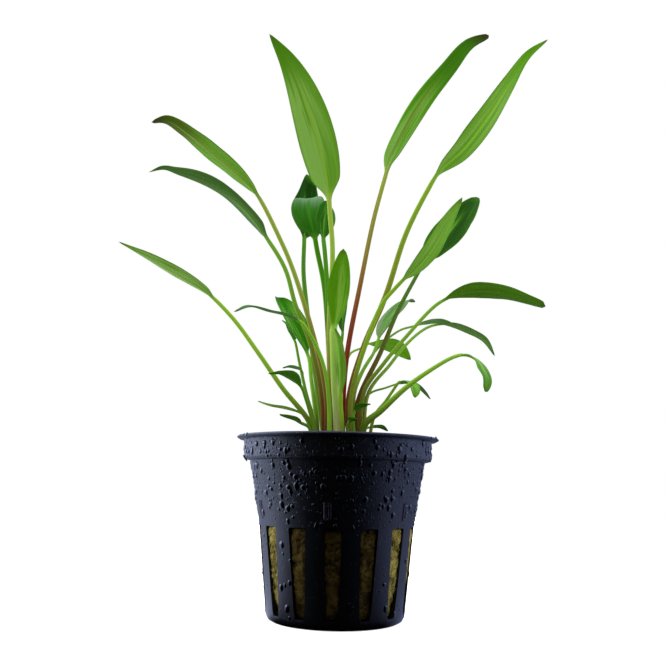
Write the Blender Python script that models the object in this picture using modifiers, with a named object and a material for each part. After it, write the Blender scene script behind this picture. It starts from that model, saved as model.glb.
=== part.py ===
"""Potted cryptocoryne: a rosette of narrow leaves in a slotted plant pot filled with mineral wool.

The origin is the middle of the pot's underside, +Z is up, and the plant's front looks along -Y.
Driving dimensions below are in millimetres, and MM turns them into Blender's metres.
"""

from collections import namedtuple
from math import atan2, cos, hypot, log, pi, radians, sin, tau

import bmesh
import bpy
from mathutils import Matrix, Vector

MM = 0.001

# Pot, a thin moulded shell
SLOT_COUNT = 14
COLUMNS_PER_SLOT = 4
SLOT_PHASE = radians(-3.0)
SLOT_HALF_ANGLE_TOP = radians(6.75)
SLOT_HALF_ANGLE_FOOT = radians(3.9)
POT_WALL = 1.0
FOOT_RADIUS = 17.2
FOOT_CORNER = (17.95, 0.4)
WALL_FOOT = (18.45, 1.3)
SLOT_FOOT = (18.6, 2.2)
SLOT_TOP = (21.05, 24.4)
WALL_MIDDLE = (22.4, 32.6)
WALL_TOP = (24.1, 41.3)
COLLAR_FOOT = (25.75, 41.7)
COLLAR_TOP = (26.0, 47.0)
FLANGE_RADIUS = 28.0
HUB_RADIUS = 4.0
DRAIN_INNER = 7.5
DRAIN_OUTER = 13.0

# Mineral wool that fills the pot up to the collar
GAP = 0.35
WOOL_TOP = 41.4
WOOL_TOP_RADIUS = 22.6
WOOL_FOOT = POT_WALL + GAP
WOOL_STEPS = 40

# Crown, the short rootstock that every leaf grows from
CROWN_RADIUS = 9.2
CROWN_FOOT = WOOL_TOP + GAP
CROWN_TOP = 44.15
CROWN_STEPS = 24
LEAF_FOOT = CROWN_TOP + GAP

# Leaf sections: a round stalk that opens into a thin trough
RING_POINTS = 6
BLADE_RINGS = 8
STALK_STEP = 6.5
SHEATH_POWER = 0.6
TROUGH_SHARE = 0.36
BLADE_THICKNESS = 0.42
TIP_RADIUS = 0.14
OPENING_SHARE = 0.14

# name: the leaf's node
# base: where it leaves the crown, x and y
# stalk, blade: its midrib's route in x, y and z, from the crown to the tip
# half_width, widest: half the blade's width, and how far along the blade that is
# fullness: 1 for an even taper to both ends, less for a fuller outline
# fold: how steeply both halves rise from the midrib, in degrees
# turn: how far the blade is twisted about its midrib, in degrees
# stalk_width: the stalk's width at the crown and at the blade
# tint: the main colour, a key of TINTS
Leaf = namedtuple("Leaf", "name base stalk blade half_width widest fullness fold turn stalk_width tint")

LEAVES = (
    Leaf("leaf_tall_centre", (-0.8, -0.8),
         [(-2.5, -0.5, 65.5), (-3, -1, 78.5), (-2.5, -2, 102), (-3.5, -3, 113.5)],
         [(-4, -3.5, 119), (-6.5, -5, 131.5), (-11, -7, 145.5), (-16.5, -9, 157.5), (-22.5, -11, 166)],
         5.5, 0.44, 0.65, -6, 60, (2.0, 1.4), "bright"),
    Leaf("leaf_tall_right", (1.2, 0.8),
         [(1.5, 3, 63), (2.5, 3.5, 74), (6, 5, 94), (10, 7.5, 115.5), (14, 10, 132)],
         [(15, 11, 136.5), (18.5, 12, 144.5), (26, 14.5, 159), (35, 17, 172.5), (42.5, 19, 183),
          (50, 21, 188)],
         4.3, 0.5, 0.5, 2, 34, (1.7, 1.3), "bright"),
    Leaf("leaf_tall_far_right", (3.7, 1.5),
         [(3, 0.5, 58.5), (7, 1, 74), (13, 1, 89), (19, 1, 108.5), (25.5, 0, 122)],
         [(29.5, 0, 128.5), (36.5, -0.5, 135), (43.5, -1.5, 144.5), (50.5, -2, 156), (56, -3, 165),
          (62.5, -4, 170.5)],
         5.0, 0.36, 0.85, 2, -34, (1.9, 1.4), "bright"),
    Leaf("leaf_high_left", (-2.9, -2.4),
         [(-3.5, -3, 60), (-8, -5, 78), (-14, -8, 95.5), (-18.5, -10, 105), (-22.5, -11.5, 112.5)],
         [(-25, -12.5, 116), (-31, -14.5, 121), (-38, -17, 126), (-44.5, -19.5, 130.5),
          (-49, -21, 132.5), (-52.5, -22.5, 131)],
         4.5, 0.45, 0.8, 6, 6, (1.9, 1.2), "bright"),
    Leaf("leaf_folded_left", (-3.5, 0.4),
         [(-5, 1, 61.5), (-8.5, 2, 75.5), (-13, 3, 86.5), (-16.5, 4.5, 98)],
         [(-23, 7, 109), (-28.5, 9, 116.5), (-35.5, 11, 123.5), (-44, 13, 128.5), (-53, 15, 132.5),
          (-58, 16, 134.5), (-63, 17, 133.5)],
         4.3, 0.36, 0.85, 20, 30, (1.8, 1.3), "dull"),
    Leaf("leaf_low_left", (-6.0, -0.8),
         [(-8, -1.5, 52), (-15.5, -4, 61), (-22.5, -6.5, 70.5), (-29.5, -9, 79.5)],
         [(-37, -11.5, 86.5), (-41.5, -13, 89), (-47.5, -15, 92), (-53.5, -17, 95), (-60, -19, 98)],
         3.1, 0.42, 1.0, 10, 10, (1.8, 1.1), "bright"),
    Leaf("leaf_back_left", (-3.4, 4.6),
         [(-8.5, 16, 77.5), (-11, 28, 94.5), (-12.5, 38, 107.5)],
         [(-13, 49, 123), (-13.5, 54, 131.5), (-14, 58, 139), (-13.5, 61.5, 146.5), (-12, 64, 153.5)],
         5.4, 0.4, 0.85, 16, 35, (1.6, 1.2), "deep"),
    Leaf("leaf_back_centre", (-1.2, 5.8),
         [(-3.5, 12, 81.5), (-5, 16, 96.5), (-7.5, 20, 109)],
         [(-8.5, 22, 114.5), (-10, 24.5, 120.5), (-11, 28, 126), (-11, 33, 131.5), (-11.5, 38, 133.5),
          (-11.5, 43, 133)],
         5.9, 0.4, 0.75, 8, -12, (1.6, 1.2), "dull"),
    Leaf("leaf_back_right", (-0.6, 3.2),
         [(-3.5, 9, 80.5), (-4, 12, 95.5), (-5, 13.5, 107)],
         [(-5.5, 14.5, 111.5), (-5.5, 16, 116.5), (-5, 17.5, 121.5), (-5, 19.5, 126)],
         3.0, 0.5, 0.8, 14, 10, (1.6, 1.1), "deep"),
    Leaf("leaf_front_centre", (-0.4, -3.8),
         [(-0.5, -4.5, 53), (-1.5, -5.5, 62), (-2, -7, 71.5)],
         [(-2, -8, 77), (-1, -9, 82), (-0.5, -10.5, 88), (0, -12.5, 93), (0.5, -15, 98.5)],
         3.2, 0.52, 0.75, 6, 10, (2.2, 1.8), "bright"),
    Leaf("leaf_narrow_behind", (1.1, 6.2),
         [(0, 9.5, 64), (0.5, 11.5, 75)],
         [(1, 12, 80), (1, 13.5, 85), (1.5, 15.5, 90), (2, 18, 96)],
         2.2, 0.5, 0.8, 16, -44, (1.3, 0.9), "deep"),
    Leaf("leaf_front_small", (1.1, -5.9),
         [(1, -6.5, 51), (0.5, -7, 56.5)],
         [(0.5, -7.5, 59), (0.5, -8, 64.5), (0, -9.5, 70.5), (-0.5, -10.5, 74.5), (-1.5, -12, 77)],
         1.7, 0.45, 0.75, 16, -20, (1.6, 1.2), "bright"),
    Leaf("leaf_folded_small", (-5.2, 1.9),
         [(-6.5, 3, 55.5), (-8, 5, 65)],
         [(-9, 7, 72), (-11.5, 8.5, 77), (-14.5, 10.5, 82.5), (-17, 12.5, 87.5), (-19.5, 15, 92)],
         4.4, 0.6, 0.7, 28, -6, (1.6, 1.1), "deep"),
    Leaf("leaf_edge_on_left", (-2.4, -4.6),
         [(-2.5, -6, 54.5), (-3.5, -9, 63.5), (-5.5, -12, 70), (-8.5, -15.5, 75)],
         [(-10.5, -18.5, 77), (-14, -22, 78), (-18.5, -26.5, 78), (-22.5, -31, 78), (-26, -35, 75.5)],
         2.2, 0.42, 0.8, 10, -14, (1.5, 0.9), "dull"),
    Leaf("leaf_small_back_left", (-5.6, 4.2),
         [(-7, 5.5, 53.5), (-9.5, 8, 61.5), (-12, 12, 71.5)],
         [(-13.5, 14.5, 78), (-15, 16, 81), (-16, 17, 83.5), (-18, 18.5, 85.5)],
         2.2, 0.5, 0.8, 14, 15, (1.2, 0.8), "deep"),
    Leaf("leaf_small_dark_left", (-4.9, -4.4),
         [(-7.5, -6.5, 53.5), (-9, -9, 58)],
         [(-10, -11, 60.5), (-12, -13, 62.5), (-14.5, -15.5, 63.5), (-18.5, -19, 63)],
         2.6, 0.45, 0.8, 12, 6, (1.3, 0.9), "deep"),
    Leaf("leaf_thin_left", (-5.0, -2.4),
         [(-7.5, -3.5, 55), (-9, -5, 60), (-10, -6, 64)],
         [(-10.5, -7, 66), (-12.5, -8, 66.5), (-14, -9, 66.5), (-15.5, -9.5, 66)],
         1.5, 0.45, 0.8, 10, 10, (1.1, 0.7), "deep"),
    Leaf("leaf_spear_left", (-7.6, 1.2),
         [(-8.5, 0.5, 53)],
         [(-11, -0.5, 55), (-15, -1.5, 56), (-19, -3, 56.5), (-22.5, -4, 57.5)],
         1.0, 0.4, 0.9, 8, 16, (1.1, 0.8), "bright"),
    Leaf("leaf_short_left", (-7.2, -2.6),
         [(-8, -3.5, 50.5)],
         [(-10, -4.5, 51.5), (-12, -6, 52.5), (-14, -7, 53), (-16, -8.5, 53.5)],
         1.5, 0.45, 0.8, 10, 10, (1.2, 0.9), "deep"),
    Leaf("leaf_light_right", (3.9, -2.2),
         [(4, -3.5, 58.5), (8, -6.5, 73.5), (12, -9.5, 84.5), (15, -11.5, 88.5)],
         [(17.5, -13, 91), (20.5, -14.5, 93.5), (24, -17, 97.5), (27, -20, 102.5), (29.5, -22.5, 107),
          (31.5, -25, 110)],
         3.5, 0.45, 0.75, 2, -4, (1.6, 1.1), "bright"),
    Leaf("leaf_dark_right", (5.2, 0.0),
         [(5.5, 1, 58), (12, 2.5, 73), (17, 4.5, 85.5), (22, 6.5, 95.5)],
         [(25, 8, 101), (29.5, 10, 107), (34.5, 12.5, 114), (39.5, 15.5, 121.5), (44, 19, 128)],
         6.2, 0.45, 0.75, 8, 34, (1.8, 1.1), "deep"),
    Leaf("leaf_level_right", (6.2, -1.8),
         [(7, -3, 60.5), (12, -5, 68), (19, -7, 76.5), (26.5, -9, 84.5)],
         [(31, -10, 87), (36.5, -11.5, 88), (42.5, -13, 87.5), (49.5, -14.5, 85.5), (55, -16, 83)],
         4.6, 0.45, 0.66, 4, -9, (1.5, 1.0), "bright"),
    Leaf("leaf_arching_right", (7.2, 0.6),
         [(8.5, 3, 61), (15, 6, 70), (19.5, 8.5, 76), (24.5, 11, 81)],
         [(28.5, 13, 83.5), (34, 15, 84.5), (40, 17, 83), (45.5, 18.5, 80.5), (49, 20, 75.5)],
         2.2, 0.4, 0.8, 2, 1, (1.4, 0.9), "dull"),
    Leaf("leaf_thin_right", (3.4, 3.6),
         [(4.5, 9, 62), (9, 14.5, 72.5), (14.5, 18, 79.5), (19.5, 20.5, 83.5)],
         [(23, 22.5, 85), (28, 25, 87), (33, 27.5, 88), (37.5, 30, 88)],
         2.2, 0.45, 0.8, 4, -16, (1.2, 0.7), "dull"),
    Leaf("leaf_drooping_right", (7.0, -4.0),
         [(7, -6.5, 51), (11.5, -9.5, 55), (17.5, -14.5, 60.5), (24, -19.5, 65), (29, -24, 67.5)],
         [(31.5, -27, 67.5), (33.5, -29, 66), (35, -31, 63), (35.5, -32.5, 60.5), (34.5, -33.5, 57.5)],
         2.3, 0.6, 0.7, 2, -10, (2.0, 0.9), "bright"),
    Leaf("leaf_low_right", (7.4, 3.0),
         [(7, 3.5, 58.5), (9.5, 4.5, 61.5), (13.5, 5.5, 63)],
         [(17.5, 6.5, 64.5), (20.5, 7.5, 65), (23.5, 8.5, 64), (27.5, 10.5, 60.5)],
         1.6, 0.4, 0.85, 6, -3, (1.1, 0.6), "dull"),
    Leaf("leaf_tip_right", (8.4, -1.2),
         [(10, -3, 54), (13, -4.5, 58), (15, -6, 61)],
         [(16.5, -7.5, 63), (18.5, -9.5, 63), (20, -12, 61.5), (20, -14, 58)],
         1.9, 0.62, 0.8, 6, 4, (1.1, 0.8), "bright"),
    Leaf("leaf_mid_right", (1.6, 3.0),
         [(1.5, 9, 66), (3.5, 14.5, 74.5), (7, 18, 77)],
         [(9.5, 21, 79), (14, 25, 80), (18, 28.5, 79.5), (21, 31, 78), (24, 33, 76)],
         2.9, 0.42, 0.75, 4, -11, (1.2, 0.7), "bright"),
    Leaf("leaf_grey_right", (5.6, 2.8),
         [(4.5, 5, 60), (7, 9, 68), (10.5, 13, 74.5)],
         [(12, 15.5, 79), (14, 18.5, 84.5), (17.5, 21.5, 89.5), (21.5, 24.5, 94), (25, 28, 94.5)],
         3.5, 0.5, 0.75, 4, -2, (1.3, 0.9), "dull"),
    Leaf("leaf_small_right", (5.2, -5.6),
         [(4, -6.5, 53)],
         [(4.5, -7, 55), (6, -8.5, 56), (7.5, -9.5, 56.5), (8.5, -10.5, 56.5)],
         1.8, 0.45, 0.8, 8, -2, (1.2, 0.8), "deep"),
    Leaf("leaf_rim_right", (5.2, 5.0),
         [(6.5, 6, 50)],
         [(8.5, 7, 51.5), (11, 9, 52), (13, 10.5, 52), (15, 12, 51)],
         1.7, 0.45, 0.8, 6, -19, (1.2, 0.8), "deep"),
    Leaf("leaf_sprout_right", (3.4, -4.4),
         [(2.5, -6.5, 50.5)],
         [(3, -8, 52), (4, -9.5, 52.5), (5, -10.5, 52.5)],
         1.7, 0.5, 0.8, 8, -8, (1.2, 0.8), "deep"),
)

# Base colour, roughness and metallic value
FINISHES = {
    "black_plastic": ((0.008, 0.009, 0.014), 0.28, 0.0),
    "mineral_wool": ((0.24, 0.20, 0.07), 0.95, 0.0),
    "rootstock": ((0.16, 0.10, 0.04), 0.8, 0.0),
}
TINTS = {
    "bright": (0.10, 0.27, 0.02),
    "dull": (0.07, 0.17, 0.05),
    "deep": (0.03, 0.11, 0.015),
}
LEAF_ROUGHNESS = 0.45


def make_material(name, colour, roughness, metallic=0.0):
    material = bpy.data.materials.new(name)
    material.use_nodes = True
    shader = material.node_tree.nodes["Principled BSDF"]
    shader.inputs["Base Color"].default_value = (*colour, 1.0)
    shader.inputs["Roughness"].default_value = roughness
    shader.inputs["Metallic"].default_value = metallic
    return material


def add_object(name, mesh, material, collection):
    piece = bpy.data.objects.new(name, mesh)
    mesh.materials.append(material)
    collection.objects.link(piece)
    return piece


def finish_mesh(bm, name):
    mesh = bpy.data.meshes.new(name)
    bm.to_mesh(mesh)
    bm.free()
    return mesh


def edge_chain(bm, profile):
    """An open chain of edges in the XZ plane through (radius, height) points in millimetres."""
    verts = [bm.verts.new((radius * MM, 0.0, height * MM)) for radius, height in profile]
    return verts + [bm.edges.new(pair) for pair in zip(verts, verts[1:])]


def slot_half_angle(height):
    share = (height - SLOT_FOOT[1]) / (SLOT_TOP[1] - SLOT_FOOT[1])
    share = min(max(share, 0.0), 1.0)
    return SLOT_HALF_ANGLE_FOOT + share * (SLOT_HALF_ANGLE_TOP - SLOT_HALF_ANGLE_FOOT)


def in_window(centre):
    """True for a face in a wall slot's window or in a drain hole of the base."""
    radius = hypot(centre.x, centre.y) / MM
    height = centre.z / MM
    in_wall = SLOT_FOOT[1] < height < SLOT_TOP[1]
    in_base = height < 0.1 and DRAIN_INNER < radius < DRAIN_OUTER
    if not (in_wall or in_base):
        return False
    turns = slot_turns(centre)
    if abs(turns - round(turns)) > 1.0 / COLUMNS_PER_SLOT:
        return False
    return in_wall or round(turns) % 2 == 0


def slot_turns(point):
    """How many slot pitches a point lies round from the first slot's middle."""
    azimuth = azimuth_of(point)
    return (azimuth - SLOT_PHASE) / (tau / SLOT_COUNT)


def azimuth_of(point):
    """Angle from the front, -Y, towards +X."""
    return atan2(point.x, -point.y)


def make_pot(collection):
    """The turned shell, with a ring of windows left open, and its wall thickness from Solidify."""
    profile = [
        (HUB_RADIUS, 0.0), (DRAIN_INNER, 0.0), (DRAIN_OUTER, 0.0), (FOOT_RADIUS, 0.0),
        FOOT_CORNER, WALL_FOOT, SLOT_FOOT, SLOT_TOP, WALL_MIDDLE, WALL_TOP,
        COLLAR_FOOT, COLLAR_TOP, (FLANGE_RADIUS, COLLAR_TOP[1]),
    ]
    bm = bmesh.new()
    chain = edge_chain(bm, profile)
    steps = SLOT_COUNT * COLUMNS_PER_SLOT
    bmesh.ops.rotate(bm, verts=bm.verts, matrix=Matrix.Rotation(SLOT_PHASE - pi / 2.0, 3, "Z"))
    bmesh.ops.spin(bm, geom=chain, cent=(0, 0, 0), axis=(0, 0, 1), angle=tau, steps=steps,
                   use_merge=True)
    hub = [v for v in bm.verts if hypot(v.co.x, v.co.y) < (HUB_RADIUS + 0.1) * MM]
    hub.sort(key=lambda v: azimuth_of(v.co))
    bm.faces.new(hub)
    windows = [f for f in bm.faces if in_window(f.calc_center_median())]
    bmesh.ops.delete(bm, geom=windows, context="FACES")
    taper_slot_edges(bm)
    bmesh.ops.recalc_face_normals(bm, faces=bm.faces)
    base = min(bm.faces, key=lambda f: f.calc_center_median().length)
    if base.normal.z > 0.0:
        bmesh.ops.reverse_faces(bm, faces=bm.faces)
    pot = add_object("pot", finish_mesh(bm, "pot"),
                     make_material("black_plastic", *FINISHES["black_plastic"]), collection)
    wall = pot.modifiers.new("wall", "SOLIDIFY")
    wall.thickness = POT_WALL * MM
    wall.offset = -1.0
    wall.use_even_offset = True
    return pot


def taper_slot_edges(bm):
    """Slide the columns beside each slot in or out, so that the slots narrow towards the foot."""
    for vert in bm.verts:
        radius = hypot(vert.co.x, vert.co.y)
        turns = slot_turns(vert.co)
        offset = turns - round(turns)
        if 0.1 < abs(offset) < 0.4:
            side = 1.0 if offset > 0.0 else -1.0
            azimuth = SLOT_PHASE + round(turns) * tau / SLOT_COUNT
            azimuth += side * slot_half_angle(vert.co.z / MM)
            vert.co.x = radius * sin(azimuth)
            vert.co.y = -radius * cos(azimuth)


def make_turned(name, profile, steps, material, collection):
    """A closed turned solid from (radius, height) points that run from the top down the outside."""
    bm = bmesh.new()
    edge_chain(bm, profile)
    piece = add_object(name, finish_mesh(bm, name), material, collection)
    turn = piece.modifiers.new("turn", "SCREW")
    turn.steps = steps
    turn.render_steps = steps
    turn.use_merge_vertices = True
    turn.merge_threshold = 0.00001
    return piece


def make_wool(collection):
    """The plug of mineral wool follows the pot's inner wall."""
    inside = POT_WALL + GAP
    profile = [
        (0.0, WOOL_TOP), (CROWN_RADIUS + 2.0, WOOL_TOP), (WOOL_TOP_RADIUS, WOOL_TOP - 0.9),
        (WALL_MIDDLE[0] - inside, WALL_MIDDLE[1]), (SLOT_TOP[0] - inside, SLOT_TOP[1]),
        (SLOT_FOOT[0] - inside, SLOT_FOOT[1] + 0.6), (FOOT_RADIUS - inside, WOOL_FOOT),
        (0.0, WOOL_FOOT),
    ]
    material = make_material("mineral_wool", *FINISHES["mineral_wool"])
    return make_turned("wool_plug", profile, WOOL_STEPS, material, collection)


def make_crown(collection):
    profile = [
        (0.0, CROWN_TOP), (CROWN_RADIUS - 0.5, CROWN_TOP), (CROWN_RADIUS, CROWN_TOP - 0.6),
        (CROWN_RADIUS - 0.8, CROWN_FOOT), (0.0, CROWN_FOOT),
    ]
    material = make_material("rootstock", *FINISHES["rootstock"])
    return make_turned("crown", profile, CROWN_STEPS, material, collection)


def smooth_route(points, steps=8):
    """Points of a smooth curve through the given ones, with parameters spaced by root distance."""
    ends = [points[0] * 2.0 - points[1], *points, points[-1] * 2.0 - points[-2]]
    route = []
    for p0, p1, p2, p3 in zip(ends, ends[1:], ends[2:], ends[3:]):
        t1 = (p1 - p0).length ** 0.5
        t2 = t1 + (p2 - p1).length ** 0.5
        t3 = t2 + (p3 - p2).length ** 0.5
        for step in range(steps):
            t = t1 + (t2 - t1) * step / steps
            a1 = p0.lerp(p1, t / t1)
            a2 = p1.lerp(p2, (t - t1) / (t2 - t1))
            a3 = p2.lerp(p3, (t - t2) / (t3 - t2))
            b1 = a1.lerp(a2, t / t2)
            b2 = a2.lerp(a3, (t - t1) / (t3 - t1))
            route.append(b1.lerp(b2, (t - t1) / (t2 - t1)))
    route.append(points[-1])
    return route


def walk(route, distances):
    """Points at the given distances along a route."""
    spots = []
    travelled = 0.0
    index = 0
    for distance in distances:
        while index < len(route) - 2 and travelled + (route[index + 1] - route[index]).length < distance:
            travelled += (route[index + 1] - route[index]).length
            index += 1
        span = (route[index + 1] - route[index]).length
        spots.append(route[index].lerp(route[index + 1], (distance - travelled) / span))
    return spots


def route_length(route):
    return sum((b - a).length for a, b in zip(route, route[1:]))


def smoothstep(value):
    value = min(max(value, 0.0), 1.0)
    return value * value * (3.0 - 2.0 * value)


def blade_outline(share, widest, fullness):
    """Share of the full half width at a share of the blade's length: a narrow pointed ellipse."""
    power = log(0.5) / log(widest)
    return max(sin(pi * share ** power), 0.0) ** fullness


def leaf_section(half_width, rise, half_thickness, flatness):
    """Six points across and above the midrib, from a round stalk (0) to a thin trough (1)."""
    section = []
    for corner in range(RING_POINTS):
        angle = tau * corner / RING_POINTS
        round_point = Vector((half_thickness * cos(angle), half_thickness * sin(angle)))
        if corner % 3 == 0:
            side = 1.0 if corner == 0 else -1.0
            flat_point = Vector((side * half_width, rise))
        else:
            side = 1.0 if cos(angle) > 0.0 else -1.0
            up = 1.0 if sin(angle) > 0.0 else -1.0
            height = rise * TROUGH_SHARE ** 2 + up * BLADE_THICKNESS / 2.0
            flat_point = Vector((side * half_width * TROUGH_SHARE, height))
        section.append(round_point.lerp(flat_point, flatness))
    return section


def make_leaf(leaf, collection):
    """One leaf, loft of rings along its midrib: a round stalk that opens into the blade."""
    base = Vector((*leaf.base, LEAF_FOOT))
    stalk = [base] + [Vector(p) for p in leaf.stalk]
    blade = [Vector(p) for p in leaf.blade]
    route = smooth_route(stalk + blade)
    blade_length = route_length(smooth_route(blade))
    length = route_length(route)
    stalk_length = length - blade_length
    stalk_rings = max(2, round(stalk_length / STALK_STEP))
    distances = [stalk_length * ring / stalk_rings for ring in range(stalk_rings)]
    distances += [stalk_length + blade_length * ring / BLADE_RINGS for ring in range(BLADE_RINGS + 1)]
    centres = walk(route, distances)

    heading = (blade[-1] - base).to_2d()
    sideways = Vector((-heading.y, heading.x, 0.0)).normalized()
    bm = bmesh.new()
    rings = []
    for index, centre in enumerate(centres):
        before = centres[max(index - 1, 0)]
        after = centres[min(index + 1, len(centres) - 1)]
        along = (after - before).normalized() if index else Vector((0.0, 0.0, 1.0))
        across = (sideways - sideways.dot(along) * along).normalized()
        normal = along.cross(across)
        twist = radians(leaf.turn)
        across, normal = (across * cos(twist) + normal * sin(twist),
                          normal * cos(twist) - across * sin(twist))
        share = (distances[index] - stalk_length) / blade_length
        stalk_share = min(distances[index] / stalk_length, 1.0) ** SHEATH_POWER
        width = leaf.stalk_width[0] + (leaf.stalk_width[1] - leaf.stalk_width[0]) * stalk_share
        radius = width / 2.0
        if share > 0.0:
            radius = max(radius * (1.0 - share), TIP_RADIUS)
        half_width = max(leaf.half_width * blade_outline(max(share, 0.0), leaf.widest, leaf.fullness), radius)
        rise = half_width * sin(radians(leaf.fold))
        flatness = smoothstep(share / OPENING_SHARE)
        if index == len(centres) - 1:
            flatness = 0.0
        section = leaf_section(half_width * cos(radians(leaf.fold)), rise, radius, flatness)
        rings.append([bm.verts.new((centre + across * p.x + normal * p.y) * MM) for p in section])
    for lower, upper in zip(rings, rings[1:]):
        for corner in range(RING_POINTS):
            following = (corner + 1) % RING_POINTS
            bm.faces.new((lower[corner], lower[following], upper[following], upper[corner]))
    bm.faces.new(rings[0][::-1])
    bm.faces.new(rings[-1])
    bmesh.ops.recalc_face_normals(bm, faces=bm.faces)
    material = make_material(leaf.name, TINTS[leaf.tint], LEAF_ROUGHNESS)
    return add_object(leaf.name, finish_mesh(bm, leaf.name), material, collection)


def main():
    for old in list(bpy.data.objects):
        bpy.data.objects.remove(old, do_unlink=True)
    collection = bpy.data.collections.new("potted_cryptocoryne")
    bpy.context.scene.collection.children.link(collection)
    make_pot(collection)
    make_wool(collection)
    make_crown(collection)
    for leaf in LEAVES:
        make_leaf(leaf, collection)


main()
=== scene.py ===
"""The dressed potted cryptocoryne: veined leaves, a slotted pot with moulded marks, and matted mineral wool.

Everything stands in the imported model's frame. Sizes below are in millimetres, and MM turns them into
Blender's metres. Colours are the 0 to 255 values of a paint chart, and linear() turns them into Blender's.
"""

from collections import namedtuple
from math import cos, hypot, log, pi, radians, sin, sqrt, tau

import bmesh
import bpy
from mathutils import Matrix, Vector


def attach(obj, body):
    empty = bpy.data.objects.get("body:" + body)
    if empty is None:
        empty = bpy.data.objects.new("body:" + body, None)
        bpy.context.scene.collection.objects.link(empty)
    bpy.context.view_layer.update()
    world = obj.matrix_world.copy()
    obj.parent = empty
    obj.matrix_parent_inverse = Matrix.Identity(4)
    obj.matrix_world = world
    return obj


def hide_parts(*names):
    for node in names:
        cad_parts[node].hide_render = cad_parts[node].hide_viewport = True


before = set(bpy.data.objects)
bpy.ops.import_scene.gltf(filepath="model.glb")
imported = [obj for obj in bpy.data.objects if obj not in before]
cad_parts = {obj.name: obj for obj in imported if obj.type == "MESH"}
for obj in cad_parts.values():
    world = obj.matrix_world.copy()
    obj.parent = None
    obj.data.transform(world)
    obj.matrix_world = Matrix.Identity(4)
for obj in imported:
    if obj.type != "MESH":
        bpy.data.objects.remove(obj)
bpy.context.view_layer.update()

MM = 0.001

# Camera of the photograph's view, low in front of the pot and tilted up
PHOTO_SIDE = 665
FOCAL_PIXELS = 747.0
SENSOR_WIDTH = 36.0
CAMERA_PLACE = (-2.06, -210.7, 35.0)
CAMERA_PITCH = radians(11.55)
CAMERA_ROLL = radians(1.08)
CLIP_START = 0.005
CLIP_END = 20.0

# Pot. A pair is a radius and a height.
SLOT_COUNT = 14
SLOT_PITCH = tau / SLOT_COUNT
SLOT_PHASE = radians(-3.0)
SLOT_HALF_ANGLE_TOP = radians(6.75)
SLOT_HALF_ANGLE_FOOT = radians(4.1)
SLOT_TAPER = 0.6
SLOT_CORNER = 0.5
SLOT_ROWS = 15
WINDOW_COLUMNS = 12
BAR_COLUMNS = 8
POT_WALL = 1.0
FOOT_RADIUS = 17.2
FOOT_CORNER = (17.95, 0.4)
WALL_FOOT = (18.45, 1.3)
SLOT_FOOT = (18.6, 2.2)
SLOT_TOP = (21.05, 24.4)
WALL_MIDDLE = (22.4, 32.6)
WALL_TOP = (24.1, 41.3)
COLLAR_FOOT = (25.75, 41.7)
COLLAR_TOP = (26.0, 47.0)
FLANGE_RADIUS = 28.0
LIP_RADIUS = 27.2
LIP_THICKNESS = 0.5
HUB_RADIUS = 4.0
DRAIN_INNER = 7.5
DRAIN_OUTER = 13.0
EDGE_ROUNDING = 0.14
SHARP_EDGE = radians(40.0)
WALL_TOP_ROUNDING = 0.25
COLLAR_FOOT_ROUNDING = 0.5
COLLAR_TOP_ROUNDING = 0.35
CORNER_STEPS = 4
PLASTIC_COLOUR = (5, 5, 8)
MARK_COLOUR = (26, 21, 28)
MIST_START = 20.0
MIST_FULL = 32.0

# Shallow marks moulded above the slots
MARK_COUNT = 6
MARK_PHASE = radians(-6.6)
MARK_WIDTH = 1.05
MARK_HEIGHT = 4.3
MARK_FOOT = 26.5
MARK_RIDGE = 0.55
MARK_SINK = 0.32
MARK_STEPS = 12

# Drops of water. They start at one height and are at their densest from another.
DROP_SPACING = 0.7
DROPS_PER_SQUARE_MM = 1.6
DROPS_START = 22.0
DROPS_FULL = 34.0
SMALLEST_DROP = 0.17
LARGEST_DROP = 0.9
DROP_FLATNESS = 0.4
DROP_COLOUR = (4, 4, 6)

# Large drops: round the pot in degrees, height, width, length, and lean in degrees
LARGE_DROPS = (
    (-42.6, 20.1, 2.0, 2.2, 0.0),
    (-14.3, 25.4, 0.6, 1.9, 25.0),
    (-10.8, 25.6, 0.7, 0.7, 0.0),
    (-13.2, 33.2, 0.6, 1.4, -10.0),
    (-1.5, 25.2, 0.8, 1.0, 20.0),
    (10.6, 24.9, 0.7, 1.5, -15.0),
    (14.0, 26.3, 0.6, 0.9, 15.0),
    (-31.0, 27.0, 0.8, 0.9, 0.0),
    (29.0, 30.5, 0.8, 1.0, 0.0),
    (-58.0, 38.5, 1.1, 1.8, 0.0),
    (-50.0, 36.4, 0.9, 1.2, 10.0),
    (-45.0, 39.2, 0.8, 1.0, 0.0),
    (-39.0, 34.5, 0.7, 0.9, 0.0),
    (-55.0, 45.2, 1.5, 1.6, 0.0),
    (-47.0, 44.8, 1.1, 2.2, 8.0),
    (-40.0, 45.4, 1.2, 1.9, -8.0),
    (-51.0, 43.1, 0.9, 1.0, 0.0),
    (-43.5, 43.3, 0.8, 1.2, 0.0),
    (38.0, 45.2, 1.0, 1.2, 0.0),
    (47.0, 44.4, 1.2, 1.3, 0.0),
    (52.0, 42.9, 0.9, 1.1, 0.0),
)

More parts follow.
